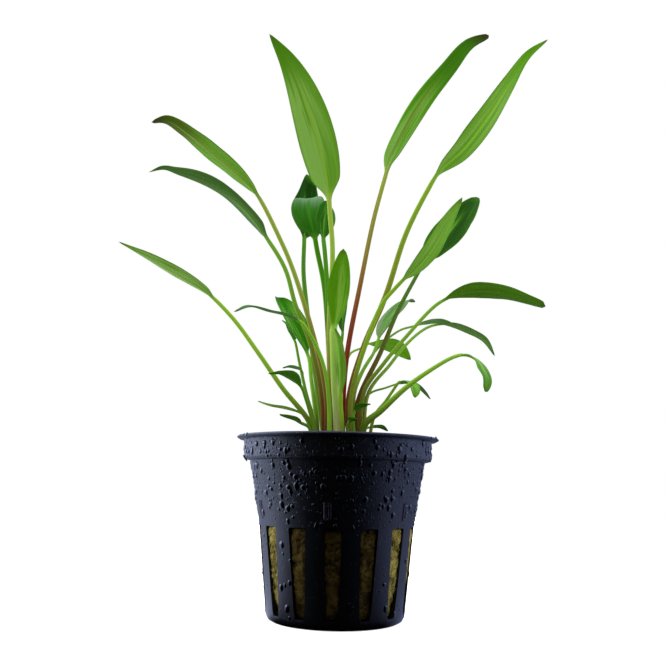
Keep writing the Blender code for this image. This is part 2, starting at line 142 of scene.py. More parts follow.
# Mineral wool and crown. The front shade colours are painted shade, which the others are multiplied by.
GAP = 0.35
WOOL_TOP = 41.4
WOOL_TOP_RADIUS = 22.6
WOOL_INSET = POT_WALL + GAP
WOOL_PATCHES = 260.0
WOOL_DARK = (124, 110, 46)
WOOL_PALE = (162, 154, 84)
WOOL_FRONT_SHADE = (150, 128, 84)
WOOL_SPECKS = (62, 50, 14)
WOOL_HOLLOW_SHADE = (26, 20, 4)
BULGE_FOOT = (2.0, 12.0)
BULGE_TOP = (23.8, 25.0)
FIBRES_PER_SQUARE_MM = 0.8
SHORTEST_FIBRE = 1.6
LONGEST_FIBRE = 3.6
LOWEST_FIBRE = 1.8
FIBRE_SLIMNESS = 0.016
FIBRE_DARK = (82, 68, 20)
FIBRE_PALE = (182, 172, 104)
FIBRE_FRONT_SHADE = (172, 146, 100)
BODY_WELD = 0.02
CROWN_RADIUS = 9.2
CROWN_FOOT = WOOL_TOP + GAP
CROWN_TOP = 44.15
CROWN_DARK = (58, 40, 20)
CROWN_PALE = (118, 92, 50)
LEAF_FOOT = CROWN_TOP + GAP
FOOT_SINK = 0.7

# Leaves. The stalk opens over OPENING_SHARE of the blade. LAMINA is half the blade's thickness, and KEEL and
# GROOVE are how far the midrib stands out below and sinks in above.
AROUND_LEAF = 56
LAST_UPPER = 0.4999
RINGS_PER_MM = 1.1
FEWEST_STALK_RINGS = 8
FEWEST_BLADE_RINGS = 24
ROUTE_STEPS = 8
STALK_TAPER = 0.6
STALK_CHANNEL = 0.3
OPENING_SHARE = 0.14
THINNEST = 0.08
LAMINA = 0.15
KEEL = 0.34
KEEL_WIDTH = 0.5
GROOVE = 0.14
GROOVE_WIDTH = 0.4
RIB_TAPER = 0.7
PLEAT = 0.012
WAVE_SHARE = 0.09
WAVES_PER_BLADE = 4.0
WAVE_SEED_STEP = 3.7
COLOUR_SEED_STEP = 2.3
VEINS_PER_HALF = 3.0
LEAF_WELD = 0.002

# Stage, in metres: a pale floor, softboxes, and a surround that is dark in front and light at the sides
FLOOR_RADIUS = 0.7
FLOOR_AROUND = 96
FLOOR_COLOUR = (228, 228, 228)
FLOOR_BOUNCE = (180, 180, 178)
FLOOR_GLOW = 0.75
FAR_GLOW = 1.1
GLOSS_LEFT = (4.1, 4.7, 6.8, 1.0)
GLOSS_RIGHT = (1.15, 1.4, 2.55, 1.0)
GLOSS_LEAN = 0.16
GLOSS_DARK = -0.66
GLOSS_LIGHT = -0.1
FLOOR_GLOSS = 0.35
FILL = (1.24, 1.21, 1.12, 1.0)
BLACK = (0.0, 0.0, 0.0, 1.0)
WHITE = (1.0, 1.0, 1.0, 1.0)
LIGHT_TARGET = (0.0, 0.0, 0.1)
SHADE_RADIUS = 0.038
SHADE_HEIGHT = 0.046
SHADE_HALF_ANGLE = radians(48.0)
SHADE_STEPS = 16
SOFTBOXES = (
    ("left_side", (-0.56, 0.24, 0.1), (0.5, 0.4), 6.0),
    ("right_side", (0.56, 0.24, 0.1), (0.5, 0.4), 4.6),
    ("above", (0.0, -0.1, 0.9), (0.6, 0.5), 5.0),
)

# name: the leaf's node
# base: where it leaves the crown, x and y
# stalk, blade: its midrib's route in x, y and z, from the crown to the tip
# half_width, widest: half the blade's width, and how far along the blade that is
# fullness: the outline towards the base and the tip, 1 for an even taper and less for a fuller one
# fold: how steeply both halves rise from the midrib, in degrees
# turn: how far the blade is twisted about its midrib, in degrees
# stalk_width: the stalk's width at the crown and at the blade
# tint: the leaf's palette
Leaf = namedtuple("Leaf", "name base stalk blade half_width widest fullness fold turn stalk_width tint")

LEAVES = (
    Leaf("leaf_tall_centre", (-0.8, -0.8),
         [(-2.5, -0.5, 65.5), (-3, -1, 78.5), (-2.5, -2, 102), (-3.5, -3, 113.5)],
         [(-4, -3.5, 119), (-6.5, -5, 131.5), (-11, -7, 145.5), (-16.5, -9, 157.5), (-22.5, -11, 166)],
         5.5, 0.37, (0.76, 0.8), -6, 60, (2.0, 1.4), "bright"),
    Leaf("leaf_tall_right", (1.2, 0.8),
         [(1.5, 3, 63), (2.5, 3.5, 74), (6, 5, 94), (10, 7.5, 115.5), (14, 10, 132)],
         [(15, 11, 136.5), (18.5, 12, 144.5), (26, 14.5, 159), (35, 17, 172.5), (42.5, 19, 183),
          (50, 21, 188)],
         4.3, 0.36, (0.8, 0.36), 2, 34, (1.7, 1.3), "bright"),
    Leaf("leaf_tall_far_right", (3.7, 1.5),
         [(3, 0.5, 58.5), (7, 1, 74), (13.1, 1, 89), (19.2, 1, 108.5), (25.6, 0, 122)],
         [(29.4, 0, 128.5), (36.3, -0.5, 135.3), (43.3, -1.5, 144.7), (50.3, -2, 156.1), (55.8, -3, 165),
          (62.5, -4, 170.5)],
         5.0, 0.4, (1.9, 0.85), 2, -34, (2.3, 1.4), "bright"),
    Leaf("leaf_high_left", (-2.9, -2.4),
         [(-3.5, -3, 60), (-8, -5, 78), (-14, -8, 95.5), (-18.5, -10, 105), (-22.5, -11.5, 112.5)],
         [(-25, -12.5, 116), (-31, -14.5, 121), (-38, -17, 126), (-44.5, -19.5, 130.5),
          (-49, -21, 132.5), (-52.5, -22.5, 131)],
         4.5, 0.45, (1.3, 0.5), 6, 6, (1.9, 1.2), "bright"),
    Leaf("leaf_folded_left", (-3.5, 0.4),
         [(-5, 1, 61.5), (-8.5, 2, 75.5), (-13, 3, 86.5), (-16.5, 4.5, 98)],
         [(-23, 7, 109), (-28.5, 9, 116.5), (-35.5, 11, 123.5), (-44, 13, 128.5), (-53, 15, 132.5),
          (-58, 16, 134.5), (-63, 17, 133.5)],
         4.3, 0.3, (0.8, 0.9), 20, 30, (1.8, 1.3), "dull"),
    Leaf("leaf_low_left", (-6.0, -0.8),
         [(-8, -1.5, 52), (-15.5, -4, 61), (-22.5, -6.5, 70.5), (-29.5, -9, 79.5)],
         [(-37, -11.5, 86.5), (-41.5, -13, 89), (-47.5, -15, 92), (-53.5, -17, 95), (-60, -19, 98)],
         3.1, 0.42, (1.0, 1.0), 10, 10, (1.8, 1.1), "bright"),
    Leaf("leaf_back_left", (-3.4, 4.6),
         [(-8.5, 16, 77.5), (-11, 28, 94.5), (-12.5, 38, 107.5)],
         [(-13, 49, 123), (-13.5, 54, 131.5), (-14, 58, 139), (-13.5, 61.5, 146.5), (-12, 64, 153.5)],
         5.4, 0.42, (0.7, 0.36), 16, 35, (1.6, 1.5), "deep"),
    Leaf("leaf_back_centre", (-1.2, 5.8),
         [(-3.5, 12, 81.5), (-5, 16, 96.5), (-7.5, 20, 109)],
         [(-8.5, 22, 114.5), (-10, 24.5, 120.5), (-11, 28, 126), (-11, 33, 131.5), (-11.5, 38, 133.5),
          (-11.5, 43, 133)],
         5.9, 0.4, (0.6, 0.6), 8, -12, (1.6, 1.6), "dull"),
    Leaf("leaf_back_right", (-0.6, 3.2),
         [(-3.5, 9, 80.5), (-4, 12, 95.5), (-5, 13.5, 107)],
         [(-5.5, 14.5, 111.5), (-5.5, 16, 116.5), (-5, 17.5, 121.5), (-5, 19.5, 126)],
         3.0, 0.5, (1.0, 0.8), 14, 10, (1.6, 1.4), "deep"),
    Leaf("leaf_front_centre", (-0.4, -3.8),
         [(-0.4, -4.5, 53), (-1.1, -5.5, 62), (-1.6, -7, 71.5)],
         [(-1.8, -8, 77), (-1, -9, 82), (-0.5, -10.5, 88), (0, -12.5, 93), (0.5, -15, 98.5)],
         3.2, 0.52, (0.9, 0.6), 6, 10, (2.2, 2.1), "bright"),
    Leaf("leaf_narrow_behind", (1.1, 6.2),
         [(0, 9.5, 64), (0.5, 11.5, 75)],
         [(1, 12, 80), (1, 13.5, 85), (1.5, 15.5, 90), (2, 18, 96)],
         2.2, 0.5, (0.8, 0.8), 16, -44, (1.3, 0.9), "deep"),
    Leaf("leaf_front_small", (1.1, -5.9),
         [(1, -6.5, 51), (0.5, -7, 56.5)],
         [(0.5, -7.5, 59), (0.5, -8, 64.5), (0, -9.5, 70.5), (-0.5, -10.5, 74.5), (-1.5, -12, 77)],
         1.7, 0.45, (0.75, 0.75), 16, -20, (1.6, 1.2), "bright"),
    Leaf("leaf_folded_small", (-5.2, 1.9),
         [(-6.5, 3, 55.5), (-8, 5, 65)],
         [(-9, 7, 72), (-11.5, 8.5, 77), (-14.5, 10.5, 82.5), (-17, 12.5, 87.5), (-19.5, 15, 92)],
         4.4, 0.6, (0.7, 0.5), 28, -6, (1.6, 1.1), "deep"),
    Leaf("leaf_edge_on_left", (-2.4, -4.6),
         [(-2.5, -6, 54.5), (-3.5, -9, 63.5), (-5.5, -12, 70), (-8.5, -15.5, 75)],
         [(-10.5, -18.5, 77), (-14, -22, 78), (-18.5, -26.5, 78), (-22.5, -31, 78), (-26, -35, 75.5)],
         2.2, 0.42, (0.8, 0.8), 10, -14, (1.5, 0.9), "dull"),
    Leaf("leaf_small_back_left", (-5.6, 4.2),
         [(-7, 5.5, 53.5), (-9.5, 8, 61.5), (-12, 12, 71.5)],
         [(-13.5, 14.5, 78), (-15, 16, 81), (-16, 17, 83.5), (-18, 18.5, 85.5)],
         2.2, 0.5, (0.8, 0.8), 14, 15, (1.2, 0.8), "deep"),
    Leaf("leaf_small_dark_left", (-4.9, -4.4),
         [(-7.5, -6.5, 53.5), (-9, -9, 58)],
         [(-10, -11, 60.5), (-12, -13, 62.5), (-14.5, -15.5, 63.5), (-18.5, -19, 63)],
         2.6, 0.5, (1.1, 0.8), 12, 6, (1.3, 0.9), "deep"),
    Leaf("leaf_thin_left", (-5.0, -2.4),
         [(-7.5, -3.5, 55), (-9, -5, 60), (-10, -6, 64)],
         [(-10.5, -7, 66), (-12.5, -8, 66.5), (-14, -9, 66.5), (-15.5, -9.5, 66)],
         1.5, 0.45, (0.8, 0.8), 10, 10, (1.1, 0.7), "deep"),
    Leaf("leaf_spear_left", (-7.6, 1.2),
         [(-8.5, 0.5, 53)],
         [(-11, -0.5, 55), (-15, -1.5, 56), (-19, -3, 56.5), (-22.5, -4, 57.5)],
         1.0, 0.4, (0.9, 0.9), 8, 16, (1.1, 0.8), "bright"),
    Leaf("leaf_short_left", (-7.2, -2.6),
         [(-8, -3.5, 50.5)],
         [(-10, -4.5, 51.5), (-12, -6, 52.5), (-14, -7, 53), (-16, -8.5, 53.5)],
         1.5, 0.45, (0.8, 0.8), 10, 10, (1.2, 0.9), "deep"),
    Leaf("leaf_light_right", (3.9, -2.2),
         [(3.4, -3.5, 58.5), (7.2, -6.5, 73.5), (11.6, -9.5, 84.5), (15, -11.5, 88.5)],
         [(17.5, -13, 91), (20.5, -14.5, 93.5), (24, -17, 97.5), (27, -20, 102.5), (29.5, -22.5, 107),
          (31.5, -25, 110)],
         3.5, 0.45, (1.1, 0.7), 2, -4, (1.6, 1.1), "bright"),
    Leaf("leaf_dark_right", (5.2, 0.0),
         [(5.5, 1, 58), (12, 2.5, 73), (17, 4.5, 85.5), (22, 6.5, 95.5)],
         [(25, 8, 101), (29.5, 10, 107), (34.5, 12.5, 114), (39.5, 15.5, 121.5), (44, 19, 128)],
         6.2, 0.45, (0.9, 0.5), 8, 34, (1.8, 1.1), "deep"),
    Leaf("leaf_level_right", (6.2, -1.8),
         [(7, -3, 60.5), (12, -5, 68), (19, -7, 76.5), (26.5, -9, 84.5)],
         [(31, -10, 87), (36.5, -11.5, 88), (42.5, -13, 87.5), (49.5, -14.5, 85.5), (55, -16, 83)],
         4.6, 0.45, (1.6, 0.3), 4, -9, (1.5, 1.0), "bright"),
    Leaf("leaf_arching_right", (7.2, 0.6),
         [(8.5, 3, 61), (15, 6, 70), (19.5, 8.5, 76), (24.5, 11, 81)],
         [(28.5, 13, 83.5), (34, 15, 84.5), (40, 17, 83), (45.5, 18.5, 80.5), (49, 20, 75.5)],
         2.2, 0.4, (0.8, 0.8), 2, 1, (1.4, 0.9), "dull"),
    Leaf("leaf_thin_right", (3.4, 3.6),
         [(4.5, 9, 62), (9, 14.5, 72.5), (14.5, 18, 79.5), (19.5, 20.5, 83.5)],
         [(23, 22.5, 85), (28, 25, 87), (33, 27.5, 88), (37.5, 30, 88)],
         2.2, 0.45, (0.8, 0.8), 4, -16, (1.2, 0.7), "dull"),
    Leaf("leaf_drooping_right", (7.0, -4.0),
         [(7, -6.5, 51), (11.5, -9.5, 55), (17.5, -14.5, 60.5), (24, -19.5, 65), (29, -24, 67.5)],
         [(31.5, -27, 67.5), (33.5, -29, 66), (35, -31, 63), (35.5, -32.5, 60.5), (34.5, -33.5, 57.5)],
         2.3, 0.6, (0.9, 0.5), 2, -10, (2.5, 0.9), "bright"),
    Leaf("leaf_low_right", (7.4, 3.0),
         [(7, 3.5, 58.5), (9.5, 4.5, 61.5), (13.5, 5.5, 63)],
         [(17.5, 6.5, 64.5), (20.5, 7.5, 65), (23.5, 8.5, 64), (27.5, 10.5, 60.5)],
         1.6, 0.4, (0.85, 0.85), 6, -3, (1.1, 0.6), "dull"),
    Leaf("leaf_tip_right", (8.4, -1.2),
         [(10, -3, 54), (13, -4.5, 58), (15, -6, 61)],
         [(16.5, -7.5, 63), (18.5, -9.5, 63), (20, -12, 61.5), (20, -14, 58)],
         1.9, 0.62, (0.8, 0.8), 6, 4, (1.1, 0.8), "bright"),
    Leaf("leaf_mid_right", (1.6, 3.0),
         [(1.5, 9, 66), (3.5, 14.5, 74.5), (7, 18, 77)],
         [(9.5, 21, 79), (14, 25, 80), (18, 28.5, 79.5), (21, 31, 78), (24, 33, 76)],
         2.9, 0.42, (0.75, 0.75), 4, -11, (1.2, 0.7), "bright"),
    Leaf("leaf_grey_right", (5.6, 2.8),
         [(4.5, 5, 60), (7, 9, 68), (10.5, 13, 74.5)],
         [(12, 15.5, 79), (14, 18.5, 84.5), (17.5, 21.5, 89.5), (21.5, 24.5, 94), (25, 28, 94.5)],
         3.5, 0.5, (0.75, 0.75), 4, -2, (1.3, 0.9), "dull"),
    Leaf("leaf_small_right", (5.2, -5.6),
         [(4, -6.5, 53)],
         [(4.5, -7, 55), (6, -8.5, 56), (7.5, -9.5, 56.5), (8.5, -10.5, 56.5)],
         1.8, 0.45, (0.8, 0.8), 8, -2, (1.2, 0.8), "deep"),
    Leaf("leaf_rim_right", (5.2, 5.0),
         [(6.5, 6, 50)],
         [(8.5, 7, 51.5), (11, 9, 52), (13, 10.5, 52), (15, 12, 51)],
         1.7, 0.45, (0.8, 0.8), 6, -19, (1.2, 0.8), "deep"),
    Leaf("leaf_sprout_right", (3.4, -4.4),
         [(2.5, -6.5, 50.5)],
         [(3, -8, 52), (4, -9.5, 52.5), (5, -10.5, 52.5)],
         1.7, 0.5, (0.8, 0.8), 8, -8, (1.2, 0.8), "deep"),
)

# How a blade departs from its plain form
# half_width: in place of the leaf's own, which still sets how far the margins wave
# early: how far down the stalk the blade starts
# lean: how far both margins lean to one side, as a share of the width
# twist: how far the blade turns about its midrib on the way to the tip, in degrees
HABITS = {
    "leaf_tall_centre": {"half_width": 5.6, "lean": -0.04, "early": 3.0},
    "leaf_tall_right": {"half_width": 3.55, "twist": 45.0, "early": 7.0},
    "leaf_tall_far_right": {"half_width": 4.8, "early": 6.0},
    "leaf_high_left": {"early": 4.0, "half_width": 4.4},
    "leaf_folded_left": {"half_width": 3.9, "early": 3.0, "lean": -0.5},
    "leaf_low_left": {"half_width": 3.4, "early": 4.0},
    "leaf_light_right": {"half_width": 3.7, "early": 2.0},
    "leaf_level_right": {"half_width": 5.6, "early": 4.0},
    "leaf_arching_right": {"half_width": 2.7},
    "leaf_dark_right": {"half_width": 6.0},
    "leaf_drooping_right": {"half_width": 3.0, "early": 2.0, "lean": 0.3},
    "leaf_mid_right": {"half_width": 4.2},
    "leaf_back_left": {"half_width": 6.2, "lean": 0.26, "early": 1.0},
    "leaf_back_centre": {"half_width": 5.9, "early": 1.5},
    "leaf_back_right": {"early": 1.0, "half_width": 3.6},
    "leaf_folded_small": {"half_width": 5.0},
    "leaf_edge_on_left": {"half_width": 1.5},
    "leaf_rim_right": {"half_width": 1.3},
    "leaf_thin_left": {"half_width": 0.9},
    "leaf_spear_left": {"half_width": 0.8},
}

# Leaf colours. Blade and Shade mottle the face, and the pale sheen colour is a painted sheen in streaks along
# it. Rib is the midrib, Rim the margins, Far the part past Far Start, Under the underside, and Foot and Neck
# the stalk's two ends.
COLOUR_LABELS = ("Blade", "Shade", "Sheen", "Rib", "Rim", "Tip", "Neck", "Foot", "Under", "Far")
AMOUNT_LABELS = ("Sheen Amount", "Sheen Side", "Sheen End", "Far Start", "Rib Reach", "Tip Start",
                 "Foot Reach", "Seed")
PLAIN_PAINT = {
    "Sheen Side": 0.0, "Sheen End": 0.95, "Far Start": 1.5, "Foot Reach": 0.45, "Far": (0, 0, 0), "IOR": 1.1,
}
PALETTES = {
    "bright": {
        "Blade": (86, 140, 22), "Shade": (62, 116, 8), "Sheen": (112, 156, 70), "Rib": (112, 152, 50),
        "Rim": (76, 126, 16), "Tip": (62, 98, 14), "Neck": (116, 156, 40), "Foot": (112, 108, 42),
        "Under": (96, 142, 44), "Sheen Amount": 0.7, "Rib Reach": 0.8, "Tip Start": 0.9,
    },
    "dull": {
        "Blade": (58, 104, 34), "Shade": (40, 82, 22), "Sheen": (102, 138, 88), "Rib": (82, 128, 46),
        "Rim": (56, 98, 30), "Tip": (50, 76, 22), "Neck": (98, 142, 42), "Foot": (98, 104, 42),
        "Under": (84, 124, 60), "Sheen Amount": 0.75, "Rib Reach": 0.8, "Tip Start": 0.88,
    },
    # The deep palette's darker greens are partly painted shade, for leaves low in the clump and behind it.
    "deep": {
        "Blade": (56, 118, 18), "Shade": (42, 100, 12), "Sheen": (84, 134, 54), "Rib": (70, 122, 34),
        "Rim": (54, 108, 22), "Tip": (46, 88, 18), "Neck": (90, 140, 40), "Foot": (88, 104, 38),
        "Under": (64, 120, 28), "Sheen Amount": 0.4, "Rib Reach": 0.8, "Tip Start": 0.88, "IOR": 1.05,
    },
}
OWN_COLOURS = {
    "leaf_tall_centre": {
        "Blade": (86, 140, 22), "Shade": (60, 118, 6), "Sheen": (128, 170, 88), "Sheen Amount": 2.2,
        "Sheen Side": -0.6, "Sheen End": 0.85, "Far": (66, 118, 14), "Far Start": 0.62,
        "Neck": (130, 158, 62), "Foot": (124, 100, 52), "Foot Reach": 0.35,
    },
    "leaf_tall_right": {
        "Rib": (98, 112, 42), "Rib Reach": 0.7, "Sheen": (106, 144, 66), "Sheen Amount": 0.9,
        "Sheen End": 0.65, "Blade": (74, 124, 20), "Far": (48, 98, 6), "Far Start": 0.42,
        "Tip": (44, 46, 10), "Tip Start": 0.82, "Neck": (124, 138, 54), "Foot": (112, 38, 30),
        "Foot Reach": 0.68,
    },
    "leaf_tall_far_right": {
        "Blade": (82, 134, 24), "Sheen": (112, 154, 68), "Sheen Amount": 1.1, "Rib": (104, 158, 34),
        "Neck": (112, 146, 40), "Foot": (102, 64, 32), "Foot Reach": 0.58, "Far": (78, 134, 20),
        "Far Start": 0.55, "Tip": (92, 66, 24), "Tip Start": 0.96,
    },
    "leaf_high_left": {
        "Rib": (112, 130, 56), "Rib Reach": 1.0, "Blade": (76, 126, 20), "Sheen": (88, 134, 46),
        "Tip": (64, 62, 14), "Tip Start": 0.86, "Far": (64, 86, 16), "Far Start": 0.5,
        "Neck": (124, 144, 58), "Foot": (104, 58, 34), "Foot Reach": 0.42,
    },
    "leaf_folded_left": {
        "Blade": (46, 84, 30), "Shade": (30, 64, 18), "Sheen": (80, 106, 64), "Rib Reach": 0.4,
        "Under": (66, 100, 46), "Tip": (124, 134, 100), "Tip Start": 0.95, "Neck": (92, 134, 42),
        "Foot": (92, 54, 26), "Foot Reach": 0.42, "IOR": 1.05,
    },
    "leaf_low_left": {
        "Sheen": (136, 170, 98), "Sheen Amount": 1.4, "Neck": (124, 166, 48), "Foot": (84, 100, 30),
        "Foot Reach": 0.3,
    },
    # Its near-black greens are painted shade: the leaf stands in the shadow at the back of the clump.
    "leaf_back_left": {
        "Blade": (22, 58, 10), "Shade": (14, 42, 6), "Sheen": (26, 62, 14), "Sheen Amount": 0.2,
        "Rim": (52, 98, 22), "Under": (24, 60, 12), "Neck": (60, 106, 24), "Foot": (84, 120, 38),
    },
    # Its far colour is a painted sheen: a pale grey-green over the top of its bend.
    "leaf_back_centre": {
        "Blade": (38, 92, 12), "Shade": (32, 82, 10), "Sheen": (58, 104, 38), "Sheen Amount": 0.25,
        "Rib": (44, 98, 14), "Under": (42, 94, 16), "Far": (84, 116, 80), "Far Start": 0.42,
        "Neck": (60, 114, 16), "Foot": (88, 124, 38), "IOR": 1.06,
    },
    "leaf_back_right": {
        "Blade": (40, 90, 20), "Shade": (30, 78, 14), "Under": (44, 94, 26), "Neck": (66, 118, 30),
        "Foot": (78, 104, 36),
    },
    "leaf_narrow_behind": {"Blade": (38, 90, 18), "Shade": (28, 74, 12), "Under": (44, 96, 24)},
    "leaf_front_centre": {
        "Blade": (74, 130, 8), "Shade": (64, 120, 4), "Sheen": (122, 172, 66), "Sheen Side": 0.8,
        "Sheen Amount": 1.2, "Under": (76, 134, 12), "Neck": (138, 176, 78), "Foot": (172, 170, 132),
        "Foot Reach": 0.32,
    },
    "leaf_light_right": {
        "Blade": (102, 152, 48), "Shade": (88, 140, 36), "Sheen": (124, 168, 80), "Sheen Amount": 1.1,
        "Rib": (108, 156, 54),
    },
    "leaf_dark_right": {
        "Blade": (34, 74, 12), "Shade": (24, 58, 8), "Sheen": (42, 80, 20), "Under": (36, 76, 14),
        "Neck": (66, 100, 36), "Foot": (88, 56, 30), "Foot Reach": 0.5, "IOR": 1.05,
    },
    "leaf_level_right": {
        "Blade": (64, 112, 10), "Shade": (54, 98, 6), "Sheen": (80, 128, 26), "Under": (66, 112, 12),
        "Rib": (70, 118, 18), "Neck": (112, 156, 52), "Foot": (84, 76, 32), "IOR": 1.07,
    },
    "leaf_mid_right": {
        "Blade": (98, 158, 16), "Shade": (84, 144, 12), "Sheen": (110, 160, 50), "Under": (98, 158, 24),
        "IOR": 1.06,
    },
    "leaf_grey_right": {
        "Blade": (80, 124, 50), "Shade": (66, 108, 42), "Sheen": (104, 126, 92), "Sheen Amount": 1.3,
        "IOR": 1.07,
    },
    "leaf_arching_right": {
        "Blade": (70, 116, 36), "Sheen": (88, 132, 56), "Neck": (104, 150, 50), "IOR": 1.05,
    },
    "leaf_drooping_right": {
        "Blade": (72, 122, 24), "Shade": (52, 100, 12), "Sheen": (98, 140, 62), "Under": (74, 120, 30),
        "Neck": (116, 160, 48), "Foot": (62, 78, 22), "Foot Reach": 0.3,
    },
    "leaf_edge_on_left": {"Neck": (112, 164, 44), "Foot": (112, 160, 44)},
    "leaf_folded_small": {
        "Blade": (50, 116, 12), "Shade": (38, 100, 8), "Sheen": (98, 152, 62), "Sheen Amount": 0.7,
        "Under": (58, 122, 22), "Neck": (110, 160, 50), "IOR": 1.07,
    },
    "leaf_thin_left": {"Blade": (96, 142, 78), "Shade": (76, 124, 58), "Under": (96, 140, 76)},
    # Its pale green is partly painted light, for a leaf low by the pot that the lamps reach little.
    "leaf_spear_left": {"Blade": (134, 180, 72), "Shade": (114, 166, 54), "Under": (134, 180, 76)},
    "leaf_short_left": {"Blade": (84, 142, 38), "Shade": (66, 124, 26), "Under": (84, 140, 40)},
}


class Builder:
    """Adds nodes to one tree. An input is fed with a plain value or with another node's output."""

    def __init__(self, tree):
        self.tree = tree

    def add(self, kind, values=(), **settings):
        node = self.tree.nodes.new(kind)
        for name, setting in settings.items():
            setattr(node, name, setting)
        for place, value in dict(values).items():
            self.feed(node.inputs[place], value)
        return node

    def result(self, kind, values=(), **settings):
        return self.add(kind, values, **settings).outputs[0]

    def feed(self, socket, value):
        if isinstance(value, bpy.types.NodeSocket):
            self.tree.links.new(value, socket)
        else:
            socket.default_value = value

    def math(self, operation, *values, clamp=False):
        return self.result("ShaderNodeMath", enumerate(values), operation=operation, use_clamp=clamp)

    def add_up(self, first, *others):
        total = first
        for value in others:
            total = self.math("ADD", total, value)
        return total

    def times(self, first, *others):
        product = first
        for value in others:
            product = self.math("MULTIPLY", product, value)
        return product

    def less(self, value, other):
        return self.math("SUBTRACT", value, other)

    def lerp(self, low, high, share):
        return self.math("MULTIPLY_ADD", self.less(high, low), share, low)

    def nudged(self, value, noise, amount):
        """The value, moved up and down by a noise that lies about 0.5."""
        return self.math("MULTIPLY_ADD", self.less(noise, 0.5), amount, value)

    def bell(self, value, width):
        """1 where value is 0, falling away smoothly over about the given width."""
        ratio = self.math("DIVIDE", value, width)
        return self.math("EXPONENT", self.times(ratio, ratio, -1.0))

    def ramp(self, value, low, high, to_low=0.0, to_high=1.0, kind="SMOOTHSTEP"):
        values = {"Value": value, "From Min": low, "From Max": high, "To Min": to_low, "To Max": to_high}
        return self.result("ShaderNodeMapRange", values, interpolation_type=kind)

    def vector(self, operation, *values):
        node = self.add("ShaderNodeVectorMath", enumerate(values), operation=operation)
        return node.outputs["Value" if operation in ("DOT_PRODUCT", "LENGTH") else "Vector"]

    def scaled(self, direction, amount):
        values = {"Vector": direction, "Scale": amount}
        return self.result("ShaderNodeVectorMath", values, operation="SCALE")

    def split(self, vector):
        return self.add("ShaderNodeSeparateXYZ", {0: vector}).outputs

    def join(self, x, y, z):
        return self.result("ShaderNodeCombineXYZ", {0: x, 1: y, 2: z})

    def noise(self, place, scale, detail=2.0, roughness=0.5):
        values = {"Vector": place, "Scale": scale, "Detail": detail, "Roughness": roughness}
        return self.result("ShaderNodeTexNoise", values)

    def random(self, low, high, kind="FLOAT", seed=0):
        node = self.add("FunctionNodeRandomValue", {"Seed": seed}, data_type=kind)
        of_vectors = kind == "FLOAT_VECTOR"
        offset = 0 if of_vectors else 2
        self.feed(node.inputs[offset], low)
        self.feed(node.inputs[offset + 1], high)
        return node.outputs[0 if of_vectors else 1]

    def blend(self, share, low, high, kind="MIX"):
        node = self.add("ShaderNodeMix", {0: share, 6: low, 7: high}, data_type="RGBA", blend_type=kind)
        return node.outputs[2]

    def place(self):
        return self.add("ShaderNodeTexCoord").outputs["Object"]

    def painted(self, label):
        return self.add("ShaderNodeAttribute", attribute_name=label).outputs["Fac"]

    def store(self, geometry, label, value, kind="FLOAT", domain="POINT"):
        values = {"Geometry": geometry, "Name": label, "Value": value}
        return self.result("GeometryNodeStoreNamedAttribute", values, data_type=kind, domain=domain)

    def grid(self, around, along):
        """A flat sheet of 1 by 1 with the given numbers of faces."""
        return self.result("GeometryNodeMeshGrid", {
            "Size X": 1.0, "Size Y": 1.0, "Vertices X": self.add_up(around, 1.0),
            "Vertices Y": self.add_up(along, 1.0)})

    def follow(self, path, share):
        """The places and directions along a path of edges."""
        curve = self.result("GeometryNodeMeshToCurve", {"Mesh": path})
        node = self.add("GeometryNodeSampleCurve", {"Curves": curve, "Factor": share}, mode="FACTOR")
        return node.outputs["Position"], node.outputs["Tangent"]

    def finish_tree(self, geometry, finish):
        """Ends a tree with real copies, smooth faces and one material."""
        real = self.result("GeometryNodeRealizeInstances", {"Geometry": geometry})
        smooth = self.result("GeometryNodeSetShadeSmooth", {"Geometry": real})
        dressed = self.result("GeometryNodeSetMaterial", {"Geometry": smooth, "Material": finish})
        self.add("NodeGroupOutput", {0: dressed})
        return self.tree


def open_tree(name, kind, inputs, outputs):
    """A builder for a new node tree with named sockets, and its input sockets."""
    tree = bpy.data.node_groups.new(name, kind)
    for way, sockets in (("INPUT", inputs), ("OUTPUT", outputs)):
        for label, socket in sockets.items():
            tree.interface.new_socket(label, in_out=way, socket_type="NodeSocket" + socket)
    build = Builder(tree)
    return build, build.add("NodeGroupInput").outputs


def linear(colour):
    """A 0 to 255 display colour in Blender's linear values."""
    shares = [part / 255.0 for part in colour]
    return (*[s / 12.92 if s < 0.04 else ((s + 0.055) / 1.055) ** 2.4 for s in shares], 1.0)


def add_piece(name, mesh, materials=()):
    piece = bpy.data.objects.new(name, mesh)
    bpy.context.scene.collection.objects.link(piece)
    for material in materials:
        mesh.materials.append(material)
    return piece


def plain_mesh(name, points, edges=(), faces=()):
    mesh = bpy.data.meshes.new(name)
    mesh.from_pydata(points, edges, faces)
    return mesh


def closed_mesh(name, bm):
    """The mesh of a finished BMesh, which is freed."""
    mesh = bpy.data.meshes.new(name)
    bm.to_mesh(mesh)
    bm.free()
    return mesh


def applied(carrier, name):
    """The plain mesh that an object's modifiers make, as a new object in the carrier's place."""
    depsgraph = bpy.context.evaluated_depsgraph_get()
    mesh = bpy.data.meshes.new_from_object(carrier.evaluated_get(depsgraph), depsgraph=depsgraph,
                                           preserve_all_data_layers=True)
    bpy.data.objects.remove(carrier)
    mesh.name = name
    return add_piece(name, mesh)


def modify(carrier, kind, **settings):
    modifier = carrier.modifiers.new(kind.lower(), kind)
    for name, setting in settings.items():
        setattr(modifier, name, setting)
    return modifier


def finish_piece(piece, node):
    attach(piece, "root")
    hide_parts(node)


def from_nodes(name, tree, start, values, node):
    """The finished piece that a geometry tree makes from a starting mesh."""
    carrier = add_piece(name + "_start", start)
    modifier = modify(carrier, "NODES", node_group=tree)
    for item in tree.interface.items_tree:
        if item.in_out == "INPUT" and item.name in values:
            modifier[item.identifier] = values[item.name]
    piece = applied(carrier, name)
    finish_piece(piece, node)
    return piece


# Leaves


